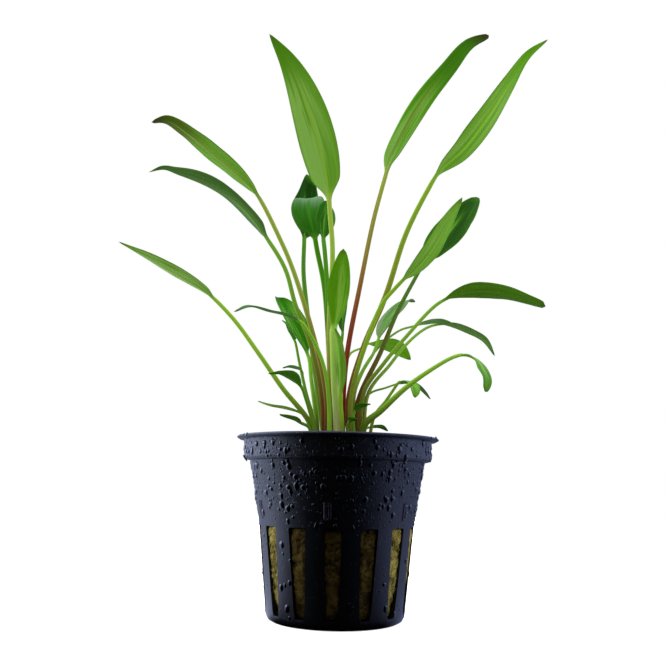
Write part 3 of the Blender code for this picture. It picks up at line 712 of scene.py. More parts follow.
def leaf_tree():
    """Grows one leaf along its midrib: a grooved stalk that opens into a thin veined blade."""
    inputs = {
        "Route": "Geometry", "Sideways": "Vector", "Neck": "Float", "Stalk Rings": "Int",
        "Blade Rings": "Int", "Half Width": "Float", "Power": "Float", "Base Fullness": "Float",
        "Tip Fullness": "Float", "Fold": "Float", "Turn": "Float", "Twist": "Float", "Lean": "Float",
        "Wave": "Float", "Foot Width": "Float", "Neck Width": "Float", "Seed": "Float", "Finish": "Material",
    }
    build, given = open_tree("leaf_along_midrib", "GeometryNodeTree", inputs, {"Leaf": "Geometry"})
    last_ring = build.add_up(given["Stalk Rings"], given["Blade Rings"], 1.0)
    sheet = build.grid(AROUND_LEAF, last_ring)
    spot = build.split(build.result("GeometryNodeInputPosition"))
    around = build.add_up(spot[0], 0.5)
    along_sheet = build.add_up(spot[1], 0.5)
    ring = build.math("ROUND", build.times(along_sheet, last_ring))
    past_foot = build.less(ring, 1.0)
    stalk = build.math("DIVIDE", past_foot, given["Stalk Rings"], clamp=True)
    past_neck = build.less(past_foot, given["Stalk Rings"])
    blade = build.math("DIVIDE", past_neck, given["Blade Rings"], clamp=True)
    along_route = build.lerp(build.times(stalk, given["Neck"]), 1.0, blade)
    across = build.less(1.0, build.times(2.0, build.math("PINGPONG", build.times(2.0, around), 1.0)))
    upper = build.math("LESS_THAN", around, LAST_UPPER)
    lower = build.less(1.0, upper)

    place, along = build.follow(given["Route"], along_route)
    straying = build.scaled(along, build.vector("DOT_PRODUCT", given["Sideways"], along))
    side = build.vector("NORMALIZE", build.vector("SUBTRACT", given["Sideways"], straying))
    up = build.vector("CROSS_PRODUCT", along, side)
    turned = build.math("RADIANS", build.add_up(given["Turn"], build.times(given["Twist"], blade)))
    cosine, sine = build.math("COSINE", turned), build.math("SINE", turned)
    width_way = build.vector("ADD", build.scaled(side, cosine), build.scaled(up, sine))
    up_way = build.vector("SUBTRACT", build.scaled(up, cosine), build.scaled(side, sine))

    taper = build.math("POWER", stalk, STALK_TAPER)
    stalk_width = build.lerp(given["Foot Width"], given["Neck Width"], taper)
    radius = build.math("MAXIMUM", build.times(stalk_width, 0.5, build.less(1.0, blade)), THINNEST)
    arch = build.math("SINE", build.times(pi, build.math("POWER", blade, given["Power"])))
    fullness = build.lerp(given["Base Fullness"], given["Tip Fullness"], blade)
    outline = build.math("POWER", build.math("MAXIMUM", arch, 0.0), fullness)
    half = build.math("MAXIMUM", build.times(given["Half Width"], outline), radius)
    flatness = build.ramp(blade, 0.0, OPENING_SHARE)

    angle = build.times(around, tau)
    channel = build.less(1.0, build.times(STALK_CHANNEL, build.bell(build.less(angle, pi / 2.0), 0.5)))
    round_x = build.times(radius, build.math("COSINE", angle))
    round_y = build.times(radius, build.math("SINE", angle), channel)

    squared = build.times(across, across)
    sway = build.times(given["Lean"], build.math("SINE", build.times(tau, blade)))
    fold = build.math("RADIANS", given["Fold"])
    flat_x = build.times(half, build.math("COSINE", fold), build.add_up(across, build.times(sway, squared)))
    rise = build.times(half, build.math("SINE", fold), squared)
    lamina = build.times(LAMINA, build.math("SQRT", build.less(1.0, build.math("POWER", squared, 3.0))))
    thinning = build.math("POWER", build.less(1.0, blade), RIB_TAPER)
    keel = build.times(KEEL, thinning, lower, build.bell(flat_x, KEEL_WIDTH))
    groove = build.times(GROOVE, thinning, upper, build.bell(flat_x, GROOVE_WIDTH))
    wander = build.noise(build.join(build.times(blade, WAVES_PER_BLADE), across, given["Seed"]), 1.0, 1.0)
    wave = build.times(given["Wave"], squared, build.less(wander, 0.5), 2.0)
    pleat = build.times(half, PLEAT, build.math("COSINE", build.times(across, 3.0 * pi)))
    flat_y = build.add_up(rise, build.times(build.less(upper, lower), lamina), wave, pleat,
                          build.times(-1.0, keel), build.times(-1.0, groove))

    # The first and the last ring shrink to a point, which closes the leaf
    open_here = build.times(build.math("GREATER_THAN", ring, 0.5),
                            build.math("LESS_THAN", ring, build.less(last_ring, 0.5)), MM)
    shift_x = build.scaled(width_way, build.times(open_here, build.lerp(round_x, flat_x, flatness)))
    shift_y = build.scaled(up_way, build.times(open_here, build.lerp(round_y, flat_y, flatness)))
    target = build.vector("ADD", place, build.vector("ADD", shift_x, shift_y))

    mesh = sheet
    for label, value in (("across", across), ("blade", blade), ("stalk", stalk), ("upper", upper)):
        mesh = build.store(mesh, label, value)
    mesh = build.store(mesh, "UVMap", build.join(around, along_sheet, 0.0), "FLOAT2", "CORNER")
    mesh = build.result("GeometryNodeSetPosition", {"Geometry": mesh, "Position": target})
    mesh = build.result("GeometryNodeMergeByDistance", {"Geometry": mesh, "Distance": LEAF_WELD * MM})
    return build.finish_tree(mesh, given["Finish"])


def smooth_route(points):
    """Points of a smooth curve through the given ones, with parameters spaced by root distance."""
    ends = [points[0] * 2.0 - points[1], *points, points[-1] * 2.0 - points[-2]]
    route = []
    for p0, p1, p2, p3 in zip(ends, ends[1:], ends[2:], ends[3:]):
        t1 = (p1 - p0).length ** 0.5
        t2 = t1 + (p2 - p1).length ** 0.5
        t3 = t2 + (p3 - p2).length ** 0.5
        for step in range(ROUTE_STEPS):
            t = t1 + (t2 - t1) * step / ROUTE_STEPS
            a1 = p0.lerp(p1, t / t1)
            a2 = p1.lerp(p2, (t - t1) / (t2 - t1))
            a3 = p2.lerp(p3, (t - t2) / (t3 - t2))
            b1 = a1.lerp(a2, t / t2)
            b2 = a2.lerp(a3, (t - t1) / (t3 - t1))
            route.append(b1.lerp(b2, (t - t1) / (t2 - t1)))
    route.append(points[-1])
    return route


def route_length(route):
    return sum((b - a).length for a, b in zip(route, route[1:]))


def route_mesh(name, route):
    return plain_mesh(name, [point * MM for point in route], [(i, i + 1) for i in range(len(route) - 1)])


def make_leaf(leaf, number, tree, colours):
    base = Vector((*leaf.base, LEAF_FOOT))
    blade = [Vector(point) for point in leaf.blade]
    route = smooth_route([base] + [Vector(point) for point in leaf.stalk] + blade)
    route.insert(0, base - Vector((0.0, 0.0, FOOT_SINK)))
    habit = HABITS.get(leaf.name, {})
    blade_length = route_length(smooth_route(blade)) + habit.get("early", 0.0)
    length = route_length(route)
    heading = (blade[-1] - base).to_2d()
    values = {
        "Sideways": (-heading.y, heading.x, 0.0),
        "Neck": 1.0 - blade_length / length,
        "Stalk Rings": max(FEWEST_STALK_RINGS, round((length - blade_length) * RINGS_PER_MM)),
        "Blade Rings": max(FEWEST_BLADE_RINGS, round(blade_length * RINGS_PER_MM)),
        "Half Width": habit.get("half_width", leaf.half_width),
        "Power": log(0.5) / log(leaf.widest),
        "Base Fullness": leaf.fullness[0], "Tip Fullness": leaf.fullness[1],
        "Fold": float(leaf.fold), "Turn": float(leaf.turn),
        "Twist": habit.get("twist", 0.0), "Lean": habit.get("lean", 0.0),
        "Wave": leaf.half_width * WAVE_SHARE,
        "Foot Width": leaf.stalk_width[0], "Neck Width": leaf.stalk_width[1],
        "Seed": number * WAVE_SEED_STEP,
        "Finish": leaf_finish(leaf, number, colours),
    }
    start = route_mesh(leaf.name + "_route", route)
    from_nodes("fine_" + leaf.name, tree, start, values, leaf.name)


# Finishes


def leaf_colours():
    """The colours of a leaf from its foot to its tip and from its midrib to its margins."""
    inputs = {**dict.fromkeys(COLOUR_LABELS, "Color"), **dict.fromkeys(AMOUNT_LABELS, "Float")}
    outputs = {"Colour": "Color", "Gloss": "Float"}
    build, given = open_tree("leaf_colours", "ShaderNodeTree", inputs, outputs)
    across, blade, stalk, upper = [build.painted(label) for label in ("across", "blade", "stalk", "upper")]
    off_rib = build.math("ABSOLUTE", across)
    chart = build.join(build.times(across, 7.0), build.times(blade, 2.2), given["Seed"])
    streaks = build.noise(chart, 1.0, 3.0, 0.6)
    broad_chart = build.join(build.times(across, 1.7), build.times(blade, 1.6), given["Seed"])
    broad = build.noise(broad_chart, 1.0, 1.0)

    mottle = build.ramp(build.nudged(streaks, broad, 0.5), 0.36, 0.66)
    face = build.blend(mottle, given["Shade"], given["Blade"])
    # Painted sheen: a pale grey-green laid in streaks along the face, towards one side and short of the tip.
    sheen_streaks = build.ramp(build.lerp(streaks, broad, 0.55), 0.42, 0.6)
    on_side = build.ramp(build.times(across, given["Sheen Side"]), -0.6, 0.6, 0.0, 2.0)
    before_end = build.ramp(blade, given["Sheen End"], build.less(given["Sheen End"], 0.3))
    painted_sheen = build.math("MINIMUM", build.times(sheen_streaks, given["Sheen Amount"], on_side, before_end), 1.0)
    face = build.blend(painted_sheen, face, given["Sheen"])
    ripple = build.math("COSINE", build.times(off_rib, VEINS_PER_HALF * tau))
    veins = build.math("POWER", build.math("MAXIMUM", ripple, 0.0), 10.0)
    face = build.blend(build.times(veins, 0.22), face, given["Shade"])
    face = build.blend(build.times(build.less(1.0, upper), 0.55), face, given["Under"])
    far_end = build.add_up(given["Far Start"], 0.3)
    far = build.ramp(build.nudged(blade, streaks, 0.2), given["Far Start"], far_end)
    face = build.blend(far, face, given["Far"])
    rib_end = build.ramp(blade, build.times(given["Rib Reach"], 0.6), given["Rib Reach"])
    rib = build.times(build.less(1.0, build.ramp(off_rib, 0.05, 0.13)), build.less(1.0, rib_end))
    face = build.blend(rib, face, given["Rib"])
    face = build.blend(build.times(build.ramp(off_rib, 0.86, 0.99), 0.8), face, given["Rim"])
    tip = build.ramp(build.nudged(blade, streaks, 0.06), given["Tip Start"], 1.0)
    face = build.blend(tip, face, given["Tip"])

    stalk_chart = build.join(build.times(across, 2.0), build.times(stalk, 3.0), given["Seed"])
    height = build.nudged(stalk, build.noise(stalk_chart, 1.4, 3.0, 0.6), 0.35)
    reach = given["Foot Reach"]
    stem = build.blend(build.ramp(height, build.less(reach, 0.4), build.add_up(reach, 0.4)), given["Foot"],
                       given["Neck"])
    colour = build.blend(build.ramp(blade, 0.0, 0.1), stem, face)
    gloss = build.add_up(0.4, build.times(0.24, streaks))
    build.add("NodeGroupOutput", {"Colour": colour, "Gloss": gloss})
    return build.tree


def new_finish(name, values=()):
    """A material with plain values on its shader, and its builder and shader."""
    material = bpy.data.materials.new(name)
    material.use_nodes = True
    shader = material.node_tree.nodes["Principled BSDF"]
    for label, value in dict(values).items():
        shader.inputs[label].default_value = value
    return material, Builder(material.node_tree), shader


def add_bump(build, shader, height, distance):
    bump = build.result("ShaderNodeBump", {"Height": height, "Distance": distance})
    build.feed(shader.inputs["Normal"], bump)


def leaf_finish(leaf, number, colours):
    paint = {**PLAIN_PAINT, **PALETTES[leaf.tint], **OWN_COLOURS.get(leaf.name, {})}
    material, build, shader = new_finish(leaf.name + "_finish", {"IOR": paint.pop("IOR")})
    values = {label: linear(paint[label]) if label in COLOUR_LABELS else paint[label] for label in paint}
    values["Seed"] = number * COLOUR_SEED_STEP
    group = build.add("ShaderNodeGroup", node_tree=colours)
    for label, value in values.items():
        build.feed(group.inputs[label], value)
    build.feed(shader.inputs["Base Color"], group.outputs["Colour"])
    build.feed(shader.inputs["Roughness"], group.outputs["Gloss"])
    return material


# Pot


def between(low, high, share):
    return (low[0] + (high[0] - low[0]) * share, low[1] + (high[1] - low[1]) * share)


def slot_half_angle(height):
    share = (height - SLOT_FOOT[1]) / (SLOT_TOP[1] - SLOT_FOOT[1])
    share = min(max(share, 0.0), 1.0) ** SLOT_TAPER
    return SLOT_HALF_ANGLE_FOOT + share * (SLOT_HALF_ANGLE_TOP - SLOT_HALF_ANGLE_FOOT)


def wall_radius(height):
    """The pot's outer radius at a height. The wall above the slots is carried on below their tops."""
    low, high = SLOT_TOP, WALL_MIDDLE
    if height > COLLAR_FOOT[1]:
        low, high = COLLAR_FOOT, COLLAR_TOP
    elif height > WALL_MIDDLE[1]:
        low, high = WALL_MIDDLE, WALL_TOP
    return between(low, high, (height - low[1]) / (high[1] - low[1]))[0]


def round_corner(before, corner, after, reach):
    """Points that round a corner off over the given reach along both of its sides."""
    start = between(corner, before, reach / hypot(before[0] - corner[0], before[1] - corner[1]))
    end = between(corner, after, reach / hypot(after[0] - corner[0], after[1] - corner[1]))
    shares = [step / CORNER_STEPS for step in range(CORNER_STEPS + 1)]
    return [between(between(start, corner, share), between(corner, end, share), share) for share in shares]


def pot_profile():
    """(radius, height) points from the base's hub, up the outside of the wall and out along the flange."""
    wall = [between(SLOT_FOOT, SLOT_TOP, row / SLOT_ROWS) for row in range(SLOT_ROWS)]
    flange = (LIP_RADIUS, COLLAR_TOP[1])
    return [
        (HUB_RADIUS, 0.0), (DRAIN_INNER, 0.0), (DRAIN_OUTER, 0.0), (FOOT_RADIUS, 0.0), FOOT_CORNER,
        WALL_FOOT, *wall, SLOT_TOP, between(SLOT_TOP, WALL_MIDDLE, 0.5), WALL_MIDDLE,
        between(WALL_MIDDLE, WALL_TOP, 0.5),
        *round_corner(WALL_MIDDLE, WALL_TOP, COLLAR_FOOT, WALL_TOP_ROUNDING),
        *round_corner(WALL_TOP, COLLAR_FOOT, COLLAR_TOP, COLLAR_FOOT_ROUNDING),
        *round_corner(COLLAR_FOOT, COLLAR_TOP, flange, COLLAR_TOP_ROUNDING), flange,
        (FLANGE_RADIUS, COLLAR_TOP[1] + POT_WALL - LIP_THICKNESS),
    ]


def pot_columns():
    """Round the pot: each slot's window columns, closer together at its sides, then the bar's."""
    columns = []
    for slot in range(SLOT_COUNT):
        for step in range(WINDOW_COLUMNS + 1):
            columns.append((slot, True, sin(pi / 2.0 * (2.0 * step / WINDOW_COLUMNS - 1.0))))
        for step in range(1, BAR_COLUMNS):
            columns.append((slot, False, step / BAR_COLUMNS))
    return columns


def pot_point(column, radius, height):
    slot, in_window, share = column
    half_angle = slot_half_angle(height)
    azimuth = SLOT_PHASE + slot * SLOT_PITCH
    if in_window:
        azimuth += half_angle * share
        from_side = (1.0 - abs(share)) * half_angle * radius
        cut = max(SLOT_CORNER - from_side, 0.0)
        drop = SLOT_CORNER - sqrt(SLOT_CORNER ** 2 - cut ** 2)
        if height == SLOT_TOP[1]:
            drop = -drop
        elif height != SLOT_FOOT[1]:
            drop = 0.0
        radius += drop * (SLOT_TOP[0] - SLOT_FOOT[0]) / (SLOT_TOP[1] - SLOT_FOOT[1])
        height += drop
    else:
        azimuth += half_angle + (SLOT_PITCH - 2.0 * half_angle) * share
    return (radius * sin(azimuth) * MM, -radius * cos(azimuth) * MM, height * MM)


def pot_faces(profile, columns):
    """The base's hub, and the shell with its slots open and a drain slot in line with every other one."""
    around = len(columns)
    faces = [tuple(reversed(range(around)))]
    for row, (low, high) in enumerate(zip(profile, profile[1:])):
        in_slot = low[1] >= SLOT_FOOT[1] and high[1] <= SLOT_TOP[1]
        in_drain = low[0] == DRAIN_INNER
        for place, (slot, in_window, share) in enumerate(columns):
            open_here = in_window and share < 1.0 and (in_slot or (in_drain and slot % 2 == 0))
            if not open_here:
                corner = row * around + place
                beside = row * around + (place + 1) % around
                faces.append((corner, beside, beside + around, corner + around))
    return faces


def make_pot(finish):
    """The turned shell with its slots left open. Solidify gives the wall, and Bevel softens its edges."""
    profile = pot_profile()
    columns = pot_columns()
    points = [pot_point(column, *spot) for spot in profile for column in columns]
    mesh = plain_mesh("fine_pot_start", points, faces=pot_faces(profile, columns))
    for face in mesh.polygons:
        face.use_smooth = True
    carrier = add_piece("fine_pot_start", mesh)
    thick = carrier.vertex_groups.new(name="thickness")
    lip_start = len(points) - len(columns)
    thick.add(range(lip_start), 1.0, "REPLACE")
    thick.add(range(lip_start, len(points)), LIP_THICKNESS / POT_WALL, "REPLACE")
    modify(carrier, "SOLIDIFY", vertex_group=thick.name, thickness=POT_WALL * MM, offset=-1.0,
           use_even_offset=True)
    modify(carrier, "BEVEL", width=EDGE_ROUNDING * MM, segments=2, limit_method="ANGLE",
           angle_limit=SHARP_EDGE)
    modify(carrier, "WEIGHTED_NORMAL", keep_sharp=True)
    pot = applied(carrier, "fine_pot")
    pot.data.materials.clear()
    pot.data.materials.append(finish)
    finish_piece(pot, "pot")
    return pot


def ring_tree():
    """Sweeps a thin ridge along a path and repeats it round the pot."""
    inputs = {"Path": "Geometry", "Count": "Int", "Phase": "Float", "Ridge": "Float", "Finish": "Material"}
    build, given = open_tree("ring_of_ridges", "GeometryNodeTree", inputs, {"Ridges": "Geometry"})
    path = build.result("GeometryNodeMeshToCurve", {"Mesh": given["Path"]})
    rod = build.result("GeometryNodeCurvePrimitiveCircle", {"Resolution": 16, "Radius": given["Ridge"]})
    ridge = build.result("GeometryNodeCurveToMesh", {"Curve": path, "Profile Curve": rod, "Fill Caps": True})
    places = build.result("GeometryNodePoints", {"Count": given["Count"]})
    number = build.result("GeometryNodeInputIndex")
    turn = build.add_up(given["Phase"], build.times(number, build.math("DIVIDE", tau, given["Count"])))
    copies = build.result("GeometryNodeInstanceOnPoints", {
        "Points": places, "Instance": ridge, "Rotation": build.join(0.0, 0.0, turn)})
    return build.finish_tree(copies, given["Finish"])


def make_marks(finish):
    """The shallow U that is moulded over the slots, six times round the wall."""
    half = MARK_WIDTH / 2.0
    turns = [pi * step / MARK_STEPS for step in range(MARK_STEPS + 1)]
    bend = [(-half * cos(turn), MARK_FOOT + half * (1.0 - sin(turn))) for turn in turns]
    top = MARK_FOOT + MARK_HEIGHT
    route = []
    for x, height in [(-half, top), *bend, (half, top)]:
        radius = wall_radius(height) - MARK_SINK
        route.append(Vector((x, -sqrt(radius ** 2 - x ** 2), height)))
    values = {"Count": MARK_COUNT, "Phase": MARK_PHASE, "Ridge": MARK_RIDGE * MM, "Finish": finish}
    from_nodes("moulded_marks", ring_tree(), route_mesh("mark_path", route), values, "pot")


def drop_tree():
    """Scatters low domes of water over the outside of the pot, most of them on its upper part."""
    inputs = {
        "Wall": "Geometry", "Spacing": "Float", "Density": "Float", "Low": "Float", "High": "Float",
        "Smallest": "Float", "Largest": "Float", "Finish": "Material",
    }
    build, given = open_tree("water_drops", "GeometryNodeTree", inputs, {"Drops": "Geometry"})
    position = build.result("GeometryNodeInputPosition")
    place = build.split(position)
    outwards = build.vector("NORMALIZE", build.join(place[0], place[1], 0.0))
    facing = build.vector("DOT_PRODUCT", build.result("GeometryNodeInputNormal"), outwards)
    wetness = build.ramp(place[2], given["Low"], given["High"], 0.1, 1.0)
    patches = build.ramp(build.noise(position, 120.0, 1.0), 0.3, 0.55, 0.25, 1.0)
    sides = build.ramp(build.math("ABSOLUTE", build.split(outwards)[0]), 0.15, 0.6, 0.3, 1.0)
    scatter = build.add("GeometryNodeDistributePointsOnFaces", {
        "Mesh": given["Wall"], "Selection": build.math("GREATER_THAN", facing, 0.9),
        "Distance Min": given["Spacing"], "Density Max": given["Density"],
        "Density Factor": build.times(wetness, patches, sides)}, distribute_method="POISSON")
    dome = build.result("GeometryNodeMeshIcoSphere", {"Radius": 1.0, "Subdivisions": 2})
    chance = build.math("POWER", build.random(0.0, 1.0, seed=8), 4.0)
    size = build.lerp(given["Smallest"], given["Largest"], chance)
    length = build.times(size, build.random(0.8, 1.5, seed=9))
    copies = build.result("GeometryNodeInstanceOnPoints", {
        "Points": scatter.outputs["Points"], "Instance": dome, "Rotation": scatter.outputs["Rotation"],
        "Scale": build.join(size, length, build.times(size, DROP_FLATNESS))})
    return build.finish_tree(copies, given["Finish"])


def make_drops(pot, finish):
    values = {
        "Spacing": DROP_SPACING * MM, "Density": DROPS_PER_SQUARE_MM / MM ** 2, "Low": DROPS_START * MM,
        "High": DROPS_FULL * MM, "Smallest": SMALLEST_DROP * MM, "Largest": LARGEST_DROP * MM,
        "Finish": finish,
    }
    from_nodes("pot_water_drops", drop_tree(), pot.data.copy(), values, "pot")


def make_large_drops(finish):
    """The few drops that are large enough to be placed one by one."""
    bm = bmesh.new()
    for azimuth, height, width, length, lean in LARGE_DROPS:
        radius = wall_radius(height)
        angle = radians(azimuth)
        place = Matrix.Translation(Vector((radius * sin(angle), -radius * cos(angle), height)) * MM)
        turn = Matrix.Rotation(angle, 4, "Z") @ Matrix.Rotation(radians(lean), 4, "Y")
        size = Matrix.Diagonal((width / 2.0 * MM, width / 4.0 * MM, length / 2.0 * MM, 1.0))
        bmesh.ops.create_icosphere(bm, subdivisions=3, radius=1.0, matrix=place @ turn @ size)
    for face in bm.faces:
        face.smooth = True
    drops = add_piece("large_water_drops", closed_mesh("large_water_drops", bm), [finish])
    finish_piece(drops, "pot")


# Mineral wool and crown


def bulge_share(build, angle, height):
    """1 where the wool stands behind an open slot, and 0 behind the pot's wall."""
    turns = build.math("DIVIDE", build.less(angle, SLOT_PHASE), SLOT_PITCH)
    off_slot = build.math("ABSOLUTE", build.less(turns, build.math("ROUND", turns)))
    up_slot = build.ramp(height, SLOT_FOOT[1] * MM, SLOT_TOP[1] * MM, kind="LINEAR")
    edge = build.lerp(SLOT_HALF_ANGLE_FOOT, SLOT_HALF_ANGLE_TOP, build.math("POWER", up_slot, SLOT_TAPER))
    past_edge = build.less(off_slot, build.math("DIVIDE", edge, SLOT_PITCH))
    below_top = build.ramp(height, BULGE_TOP[1] * MM, BULGE_TOP[0] * MM)
    above_foot = build.ramp(height, BULGE_FOOT[0] * MM, BULGE_FOOT[1] * MM, 0.2, 1.0)
    return build.times(build.ramp(past_edge, 0.03, -0.03), below_top, above_foot)


def lumpy_tree():
    """Turns a profile into a closed body and roughens it with lumps and pits."""
    inputs = {
        "Profile": "Geometry", "Around": "Int", "Along": "Int", "Pits": "Float", "Lumps": "Float",
        "Grain": "Float", "Seed": "Float", "Bulge": "Float", "Finish": "Material",
    }
    build, given = open_tree("lumpy_turned_body", "GeometryNodeTree", inputs, {"Body": "Geometry"})
    sheet = build.grid(given["Around"], given["Along"])
    spot = build.split(build.result("GeometryNodeInputPosition"))
    place, along = build.follow(given["Profile"], build.add_up(spot[1], 0.5))
    flat, way = build.split(place), build.split(along)
    angle = build.times(build.add_up(spot[0], 0.5), -tau)
    cosine, sine = build.math("COSINE", angle), build.math("SINE", angle)
    bare = build.join(build.times(flat[0], sine), build.times(flat[0], cosine, -1.0), flat[2])
    seeded = build.vector("ADD", bare, build.join(given["Seed"], 0.0, 0.0))
    coarse = build.noise(seeded, build.times(given["Grain"], 0.4))
    fine = build.noise(seeded, given["Grain"], 3.0, 0.6)
    pits = build.ramp(build.lerp(coarse, fine, 0.5), 0.52, 0.36)
    lumps = build.times(given["Lumps"], build.less(fine, 0.6))
    bulge = build.times(given["Bulge"], bulge_share(build, angle, flat[2]))
    shift = build.times(MM, build.add_up(lumps, build.times(-1.0, given["Pits"], pits), bulge))
    radius = build.math("MAXIMUM", build.less(flat[0], build.times(way[2], shift)), 0.0)
    height = build.add_up(flat[2], build.times(way[0], shift))
    target = build.join(build.times(radius, sine), build.times(radius, cosine, -1.0), height)
    mesh = build.store(sheet, "hollow", pits)
    mesh = build.result("GeometryNodeSetPosition", {"Geometry": mesh, "Position": target})
    mesh = build.result("GeometryNodeMergeByDistance", {"Geometry": mesh, "Distance": BODY_WELD * MM})
    return build.finish_tree(mesh, given["Finish"])


def fibre_tree():
    """Scatters short bent fibres that lie flat on a body, each with a tone of its own."""
    inputs = {
        "Body": "Geometry", "Density": "Float", "Shortest": "Float", "Longest": "Float",
        "Thickness": "Float", "Lowest": "Float", "Seed": "Int", "Finish": "Material",
    }
    build, given = open_tree("matted_fibres", "GeometryNodeTree", inputs, {"Fibres": "Geometry"})
    height = build.split(build.result("GeometryNodeInputPosition"))[2]
    scatter = build.add("GeometryNodeDistributePointsOnFaces", {
        "Mesh": given["Body"], "Density": given["Density"], "Seed": given["Seed"],
        "Selection": build.math("GREATER_THAN", height, given["Lowest"])})
    bend = build.result("GeometryNodeCurveQuadraticBezier", {
        "Resolution": 5, "Start": (-0.5, 0.0, -0.05), "Middle": (0.0, 0.32, 0.1), "End": (0.5, 0.0, -0.05)})
    rod = build.result("GeometryNodeCurvePrimitiveCircle", {"Resolution": 3, "Radius": given["Thickness"]})
    fibre = build.result("GeometryNodeCurveToMesh", {"Curve": bend, "Profile Curve": rod, "Fill Caps": True})
    lie = build.random((-0.12, -0.12, 0.0), (0.12, 0.12, tau), "FLOAT_VECTOR", 1)
    turn = build.result("FunctionNodeRotateRotation", {0: scatter.outputs["Rotation"], 1: lie},
                        rotation_space="LOCAL")
    size = build.random(given["Shortest"], given["Longest"], seed=2)
    copies = build.result("GeometryNodeInstanceOnPoints", {
        "Points": scatter.outputs["Points"], "Instance": fibre, "Rotation": turn, "Scale": size})
    toned = build.store(copies, "tone", build.random(0.0, 1.0, seed=3), domain="INSTANCE")
    return build.finish_tree(toned, given["Finish"])


def make_lumpy(name, lumpy, profile, values, node):
    route = [Vector((radius, 0.0, height)) for radius, height in profile]
    return from_nodes(name, lumpy, route_mesh(name + "_profile", route), values, node)


def make_wool(lumpy, wool_finish, fibre_finish):
    low_spot = between(SLOT_FOOT, SLOT_TOP, 0.2)
    profile = [
        (0.0, WOOL_TOP), (CROWN_RADIUS + 2.0, WOOL_TOP), (WOOL_TOP_RADIUS, WOOL_TOP - 0.9),
        (WALL_MIDDLE[0] - WOOL_INSET, WALL_MIDDLE[1]), (SLOT_TOP[0] - WOOL_INSET, SLOT_TOP[1]),
        (low_spot[0] - WOOL_INSET, low_spot[1]), (SLOT_FOOT[0] - WOOL_INSET - 0.3, SLOT_FOOT[1] + 0.3),
        (FOOT_RADIUS - WOOL_INSET - 0.7, WOOL_INSET), (0.0, WOOL_INSET),
    ]
    wool = make_lumpy("matted_wool", lumpy, profile, {
        "Around": 300, "Along": 220, "Pits": 0.4, "Lumps": 0.3, "Grain": 900.0, "Seed": 1.0, "Bulge": 0.9,
        "Finish": wool_finish}, "wool_plug")
    from_nodes("wool_fibres", fibre_tree(), wool.data.copy(), {
        "Density": FIBRES_PER_SQUARE_MM / MM ** 2, "Shortest": SHORTEST_FIBRE * MM,
        "Longest": LONGEST_FIBRE * MM, "Thickness": FIBRE_SLIMNESS, "Lowest": LOWEST_FIBRE * MM, "Seed": 4,
        "Finish": fibre_finish}, "wool_plug")


def make_crown(lumpy, finish):
    profile = [
        (0.0, CROWN_TOP), (CROWN_RADIUS - 0.5, CROWN_TOP), (CROWN_RADIUS, CROWN_TOP - 0.6),
        (CROWN_RADIUS - 0.8, CROWN_FOOT), (0.0, CROWN_FOOT),
    ]
    make_lumpy("rough_crown", lumpy, profile, {
        "Around": 120, "Along": 80, "Pits": 0.5, "Lumps": 0.3, "Grain": 700.0, "Seed": 5.0,
        "Finish": finish}, "crown")


# Finishes of the pot, the wool and the crown


def plastic_finish(name, colour):
    """Smooth black plastic under a fine mist of water."""
    material, build, shader = new_finish(name, {"Base Color": linear(colour), "Specular IOR Level": 0.42})
    place = build.place()
    cells = build.add("ShaderNodeTexVoronoi", {"Vector": place, "Scale": 1700.0})
    misted = build.ramp(build.split(place)[2], MIST_START * MM, MIST_FULL * MM, 0.08, 0.48)
    held = build.math("LESS_THAN", build.split(cells.outputs["Color"])[0], misted)
    mist = build.times(held, build.ramp(cells.outputs["Distance"], 0.45, 0.0))
    grain = build.noise(place, 500.0, 3.0, 0.55)
    build.feed(shader.inputs["Roughness"], build.add_up(0.36, build.times(0.14, grain)))
    add_bump(build, shader, build.add_up(build.times(0.3, mist), build.times(grain, 0.12)), 0.3 * MM)
    return material


def water_finish():
    """Drops of water on black plastic, which shows through them."""
    return new_finish("water_drops", {
        "Base Color": linear(DROP_COLOUR), "Specular IOR Level": 0.5, "Roughness": 0.06})[0]


def painted_front_shade(build, place):
    """Painted shade on the wool: how dark it is made, most at the front and the back and none at the sides.
    """
    heading = build.split(build.vector("NORMALIZE", build.vector("MULTIPLY", place, (1.0, 1.0, 0.0))))
    return build.ramp(build.math("ABSOLUTE", heading[0]), 0.78, 0.5, 0.0, 0.85)


def wool_finish():
    """Straw-coloured mineral wool, with painted shade in its hollows and towards its front and back."""
    material, build, shader = new_finish("mineral_wool_with_painted_shade", {"Roughness": 0.8, "Specular IOR Level": 0.2})
    place = build.place()
    patches = build.noise(place, WOOL_PATCHES, 3.0, 0.6)
    specks = build.noise(place, 2200.0, 3.0, 0.7)
    colour = build.blend(build.ramp(patches, 0.35, 0.65), linear(WOOL_DARK), linear(WOOL_PALE))
    # Painted shade: the wool is darkened where it faces the front and the back.
    colour = build.blend(painted_front_shade(build, place), colour, linear(WOOL_FRONT_SHADE), "MULTIPLY")
    colour = build.blend(build.times(0.35, build.ramp(specks, 0.4, 0.65)), colour, linear(WOOL_SPECKS))
    # Painted shade in the pits: the deeper the hollow, the darker the wool.
    colour = build.blend(build.times(0.65, build.painted("hollow")), colour, linear(WOOL_HOLLOW_SHADE))
    build.feed(shader.inputs["Base Color"], colour)
    add_bump(build, shader, specks, 0.3 * MM)
    return material


def fibre_finish():
    """The wool's loose fibres, from brown to straw by each one's own tone, with painted shade towards the
    front and back.
    """
    material, build, shader = new_finish("mineral_fibres", {"Roughness": 0.6, "Specular IOR Level": 0.12})
    place = build.place()
    patches = build.noise(place, WOOL_PATCHES, 3.0, 0.6)
    light = build.ramp(build.lerp(build.painted("tone"), patches, 0.6), 0.3, 0.75)
    colour = build.blend(light, linear(FIBRE_DARK), linear(FIBRE_PALE))
    # Painted shade: the fibres are darkened where they face the front and the back.
    colour = build.blend(painted_front_shade(build, place), colour, linear(FIBRE_FRONT_SHADE), "MULTIPLY")
    build.feed(shader.inputs["Base Color"], colour)
    return material


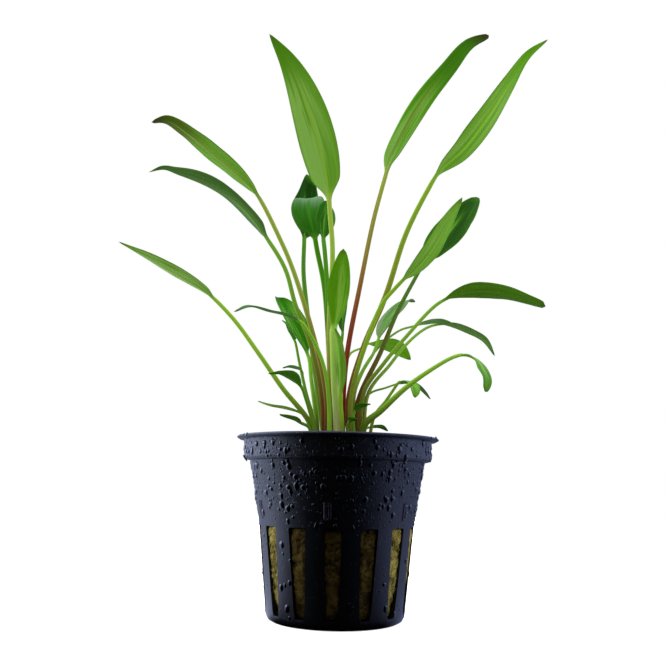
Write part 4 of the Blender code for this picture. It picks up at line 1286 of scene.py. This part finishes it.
def crown_finish():
    material, build, shader = new_finish("brown_rootstock", {"Roughness": 0.75})
    mottle = build.noise(build.place(), 700.0, 4.0, 0.65)
    colour = build.blend(build.ramp(mottle, 0.35, 0.65), linear(CROWN_DARK), linear(CROWN_PALE))
    build.feed(shader.inputs["Base Color"], colour)
    add_bump(build, shader, mottle, 0.4 * MM)
    return material


# Stage


def side_gloss(build, way):
    """What shiny things reflect: dark towards the front, bluish at the sides and behind, most on the left."""
    heading = build.split(build.vector("NORMALIZE", way))
    share = build.ramp(build.add_up(heading[1], build.times(heading[0], GLOSS_LEAN)), GLOSS_DARK, GLOSS_LIGHT)
    level = build.times(share, build.ramp(heading[1], 0.9, 0.1, 0.3, 1.0))
    return build.scaled(build.blend(build.ramp(heading[0], -0.7, 0.7), GLOSS_LEFT, GLOSS_RIGHT), level)


def floor_finish():
    """Pale to the camera, darker to what it lights, and a faint copy of the surround to shiny things."""
    material, build, shader = new_finish("pale_floor", {
        "Emission Strength": 1.0, "Roughness": 0.9, "Specular IOR Level": 0.0})
    material.cycles.emission_sampling = "NONE"
    rays = build.add("ShaderNodeLightPath")
    seen, shiny = rays.outputs["Is Camera Ray"], rays.outputs["Is Glossy Ray"]
    way = build.place()
    unseen = build.blend(shiny, linear(FLOOR_BOUNCE), BLACK)
    build.feed(shader.inputs["Base Color"], build.blend(seen, unseen, linear(FLOOR_COLOUR)))
    glow = build.scaled(side_gloss(build, way), build.times(shiny, FLOOR_GLOSS))
    far = build.ramp(build.vector("LENGTH", way), 0.1, 0.3)
    near_glow, far_glow = [(*[level] * 3, 1.0) for level in (FLOOR_GLOW, FAR_GLOW)]
    glow = build.blend(seen, glow, build.blend(far, near_glow, far_glow))
    build.feed(shader.inputs["Emission Color"], glow)
    return material


def make_floor():
    """A wide pale disc. It is lit until it is as white as the surround, so that no edge shows."""
    bm = bmesh.new()
    bmesh.ops.create_circle(bm, cap_ends=True, segments=FLOOR_AROUND, radius=FLOOR_RADIUS)
    add_piece("floor", closed_mesh("floor", bm), [floor_finish()])


def make_shade():
    """A curved card that keeps the front light off the lower pot. The camera doesn't see it."""
    points = []
    for step in range(SHADE_STEPS + 1):
        angle = SHADE_HALF_ANGLE * (2.0 * step / SHADE_STEPS - 1.0)
        x, y = SHADE_RADIUS * sin(angle), -SHADE_RADIUS * cos(angle)
        points += [(x, y, 0.0), (x, y, SHADE_HEIGHT)]
    faces = [(i, i + 2, i + 3, i + 1) for i in range(0, 2 * SHADE_STEPS, 2)]
    black_card = new_finish("black_card", {"Base Color": BLACK, "Specular IOR Level": 0.0})[0]
    card = add_piece("front_shade", plain_mesh("front_shade", points, faces=faces), [black_card])
    card.visible_camera = False
    card.visible_glossy = False


def add_softbox(name, place, size, power):
    light = bpy.data.lights.new(name, "AREA")
    light.shape = "RECTANGLE"
    light.size, light.size_y = size
    light.energy = power
    lamp = bpy.data.objects.new(name, light)
    lamp.visible_glossy = False
    bpy.context.scene.collection.objects.link(lamp)
    towards = (Vector(LIGHT_TARGET) - Vector(place)).normalized().to_track_quat("-Z", "Y")
    lamp.matrix_world = Matrix.Translation(place) @ towards.to_matrix().to_4x4()


def make_world():
    """White where the camera looks past the object, a dim fill, and pale sides for shiny surfaces."""
    world = bpy.data.worlds.new("studio")
    world.use_nodes = True
    bpy.context.scene.world = world
    build = Builder(world.node_tree)
    background = world.node_tree.nodes["Background"]
    rays = build.add("ShaderNodeLightPath")
    way = build.add("ShaderNodeTexCoord").outputs["Generated"]
    light = build.blend(rays.outputs["Is Glossy Ray"], FILL, side_gloss(build, way))
    build.feed(background.inputs["Color"], build.blend(rays.outputs["Is Camera Ray"], light, WHITE))
    background.inputs["Strength"].default_value = 1.0


def make_camera():
    data = bpy.data.cameras.new("photo_view")
    data.sensor_width = SENSOR_WIDTH
    data.lens = FOCAL_PIXELS / PHOTO_SIDE * SENSOR_WIDTH
    data.clip_start = CLIP_START
    data.clip_end = CLIP_END
    camera = bpy.data.objects.new("photo_view", data)
    bpy.context.scene.collection.objects.link(camera)
    right = Vector((1.0, 0.0, 0.0))
    forward = Vector((0.0, cos(CAMERA_PITCH), sin(CAMERA_PITCH)))
    up = Vector((0.0, -sin(CAMERA_PITCH), cos(CAMERA_PITCH)))
    tilted_right = right * cos(CAMERA_ROLL) + up * sin(CAMERA_ROLL)
    tilted_up = up * cos(CAMERA_ROLL) - right * sin(CAMERA_ROLL)
    turn = Matrix((tilted_right, tilted_up, -forward)).transposed().to_4x4()
    camera.matrix_world = Matrix.Translation(Vector(CAMERA_PLACE) * MM) @ turn
    bpy.context.scene.camera = camera


def main():
    make_camera()
    make_world()
    make_floor()
    make_shade()
    for light in SOFTBOXES:
        add_softbox(*light)
    pot = make_pot(plastic_finish("wet_black_plastic", PLASTIC_COLOUR))
    # The marks' lighter black is partly a painted highlight, for the broad light that their ridges catch.
    make_marks(plastic_finish("lighter_black_plastic", MARK_COLOUR))
    water = water_finish()
    make_drops(pot, water)
    make_large_drops(water)
    lumpy = lumpy_tree()
    make_wool(lumpy, wool_finish(), fibre_finish())
    make_crown(lumpy, crown_finish())
    grow = leaf_tree()
    colours = leaf_colours()
    for number, leaf in enumerate(LEAVES):
        make_leaf(leaf, number, grow, colours)
    bpy.context.scene.view_settings.view_transform = "Standard"


main()
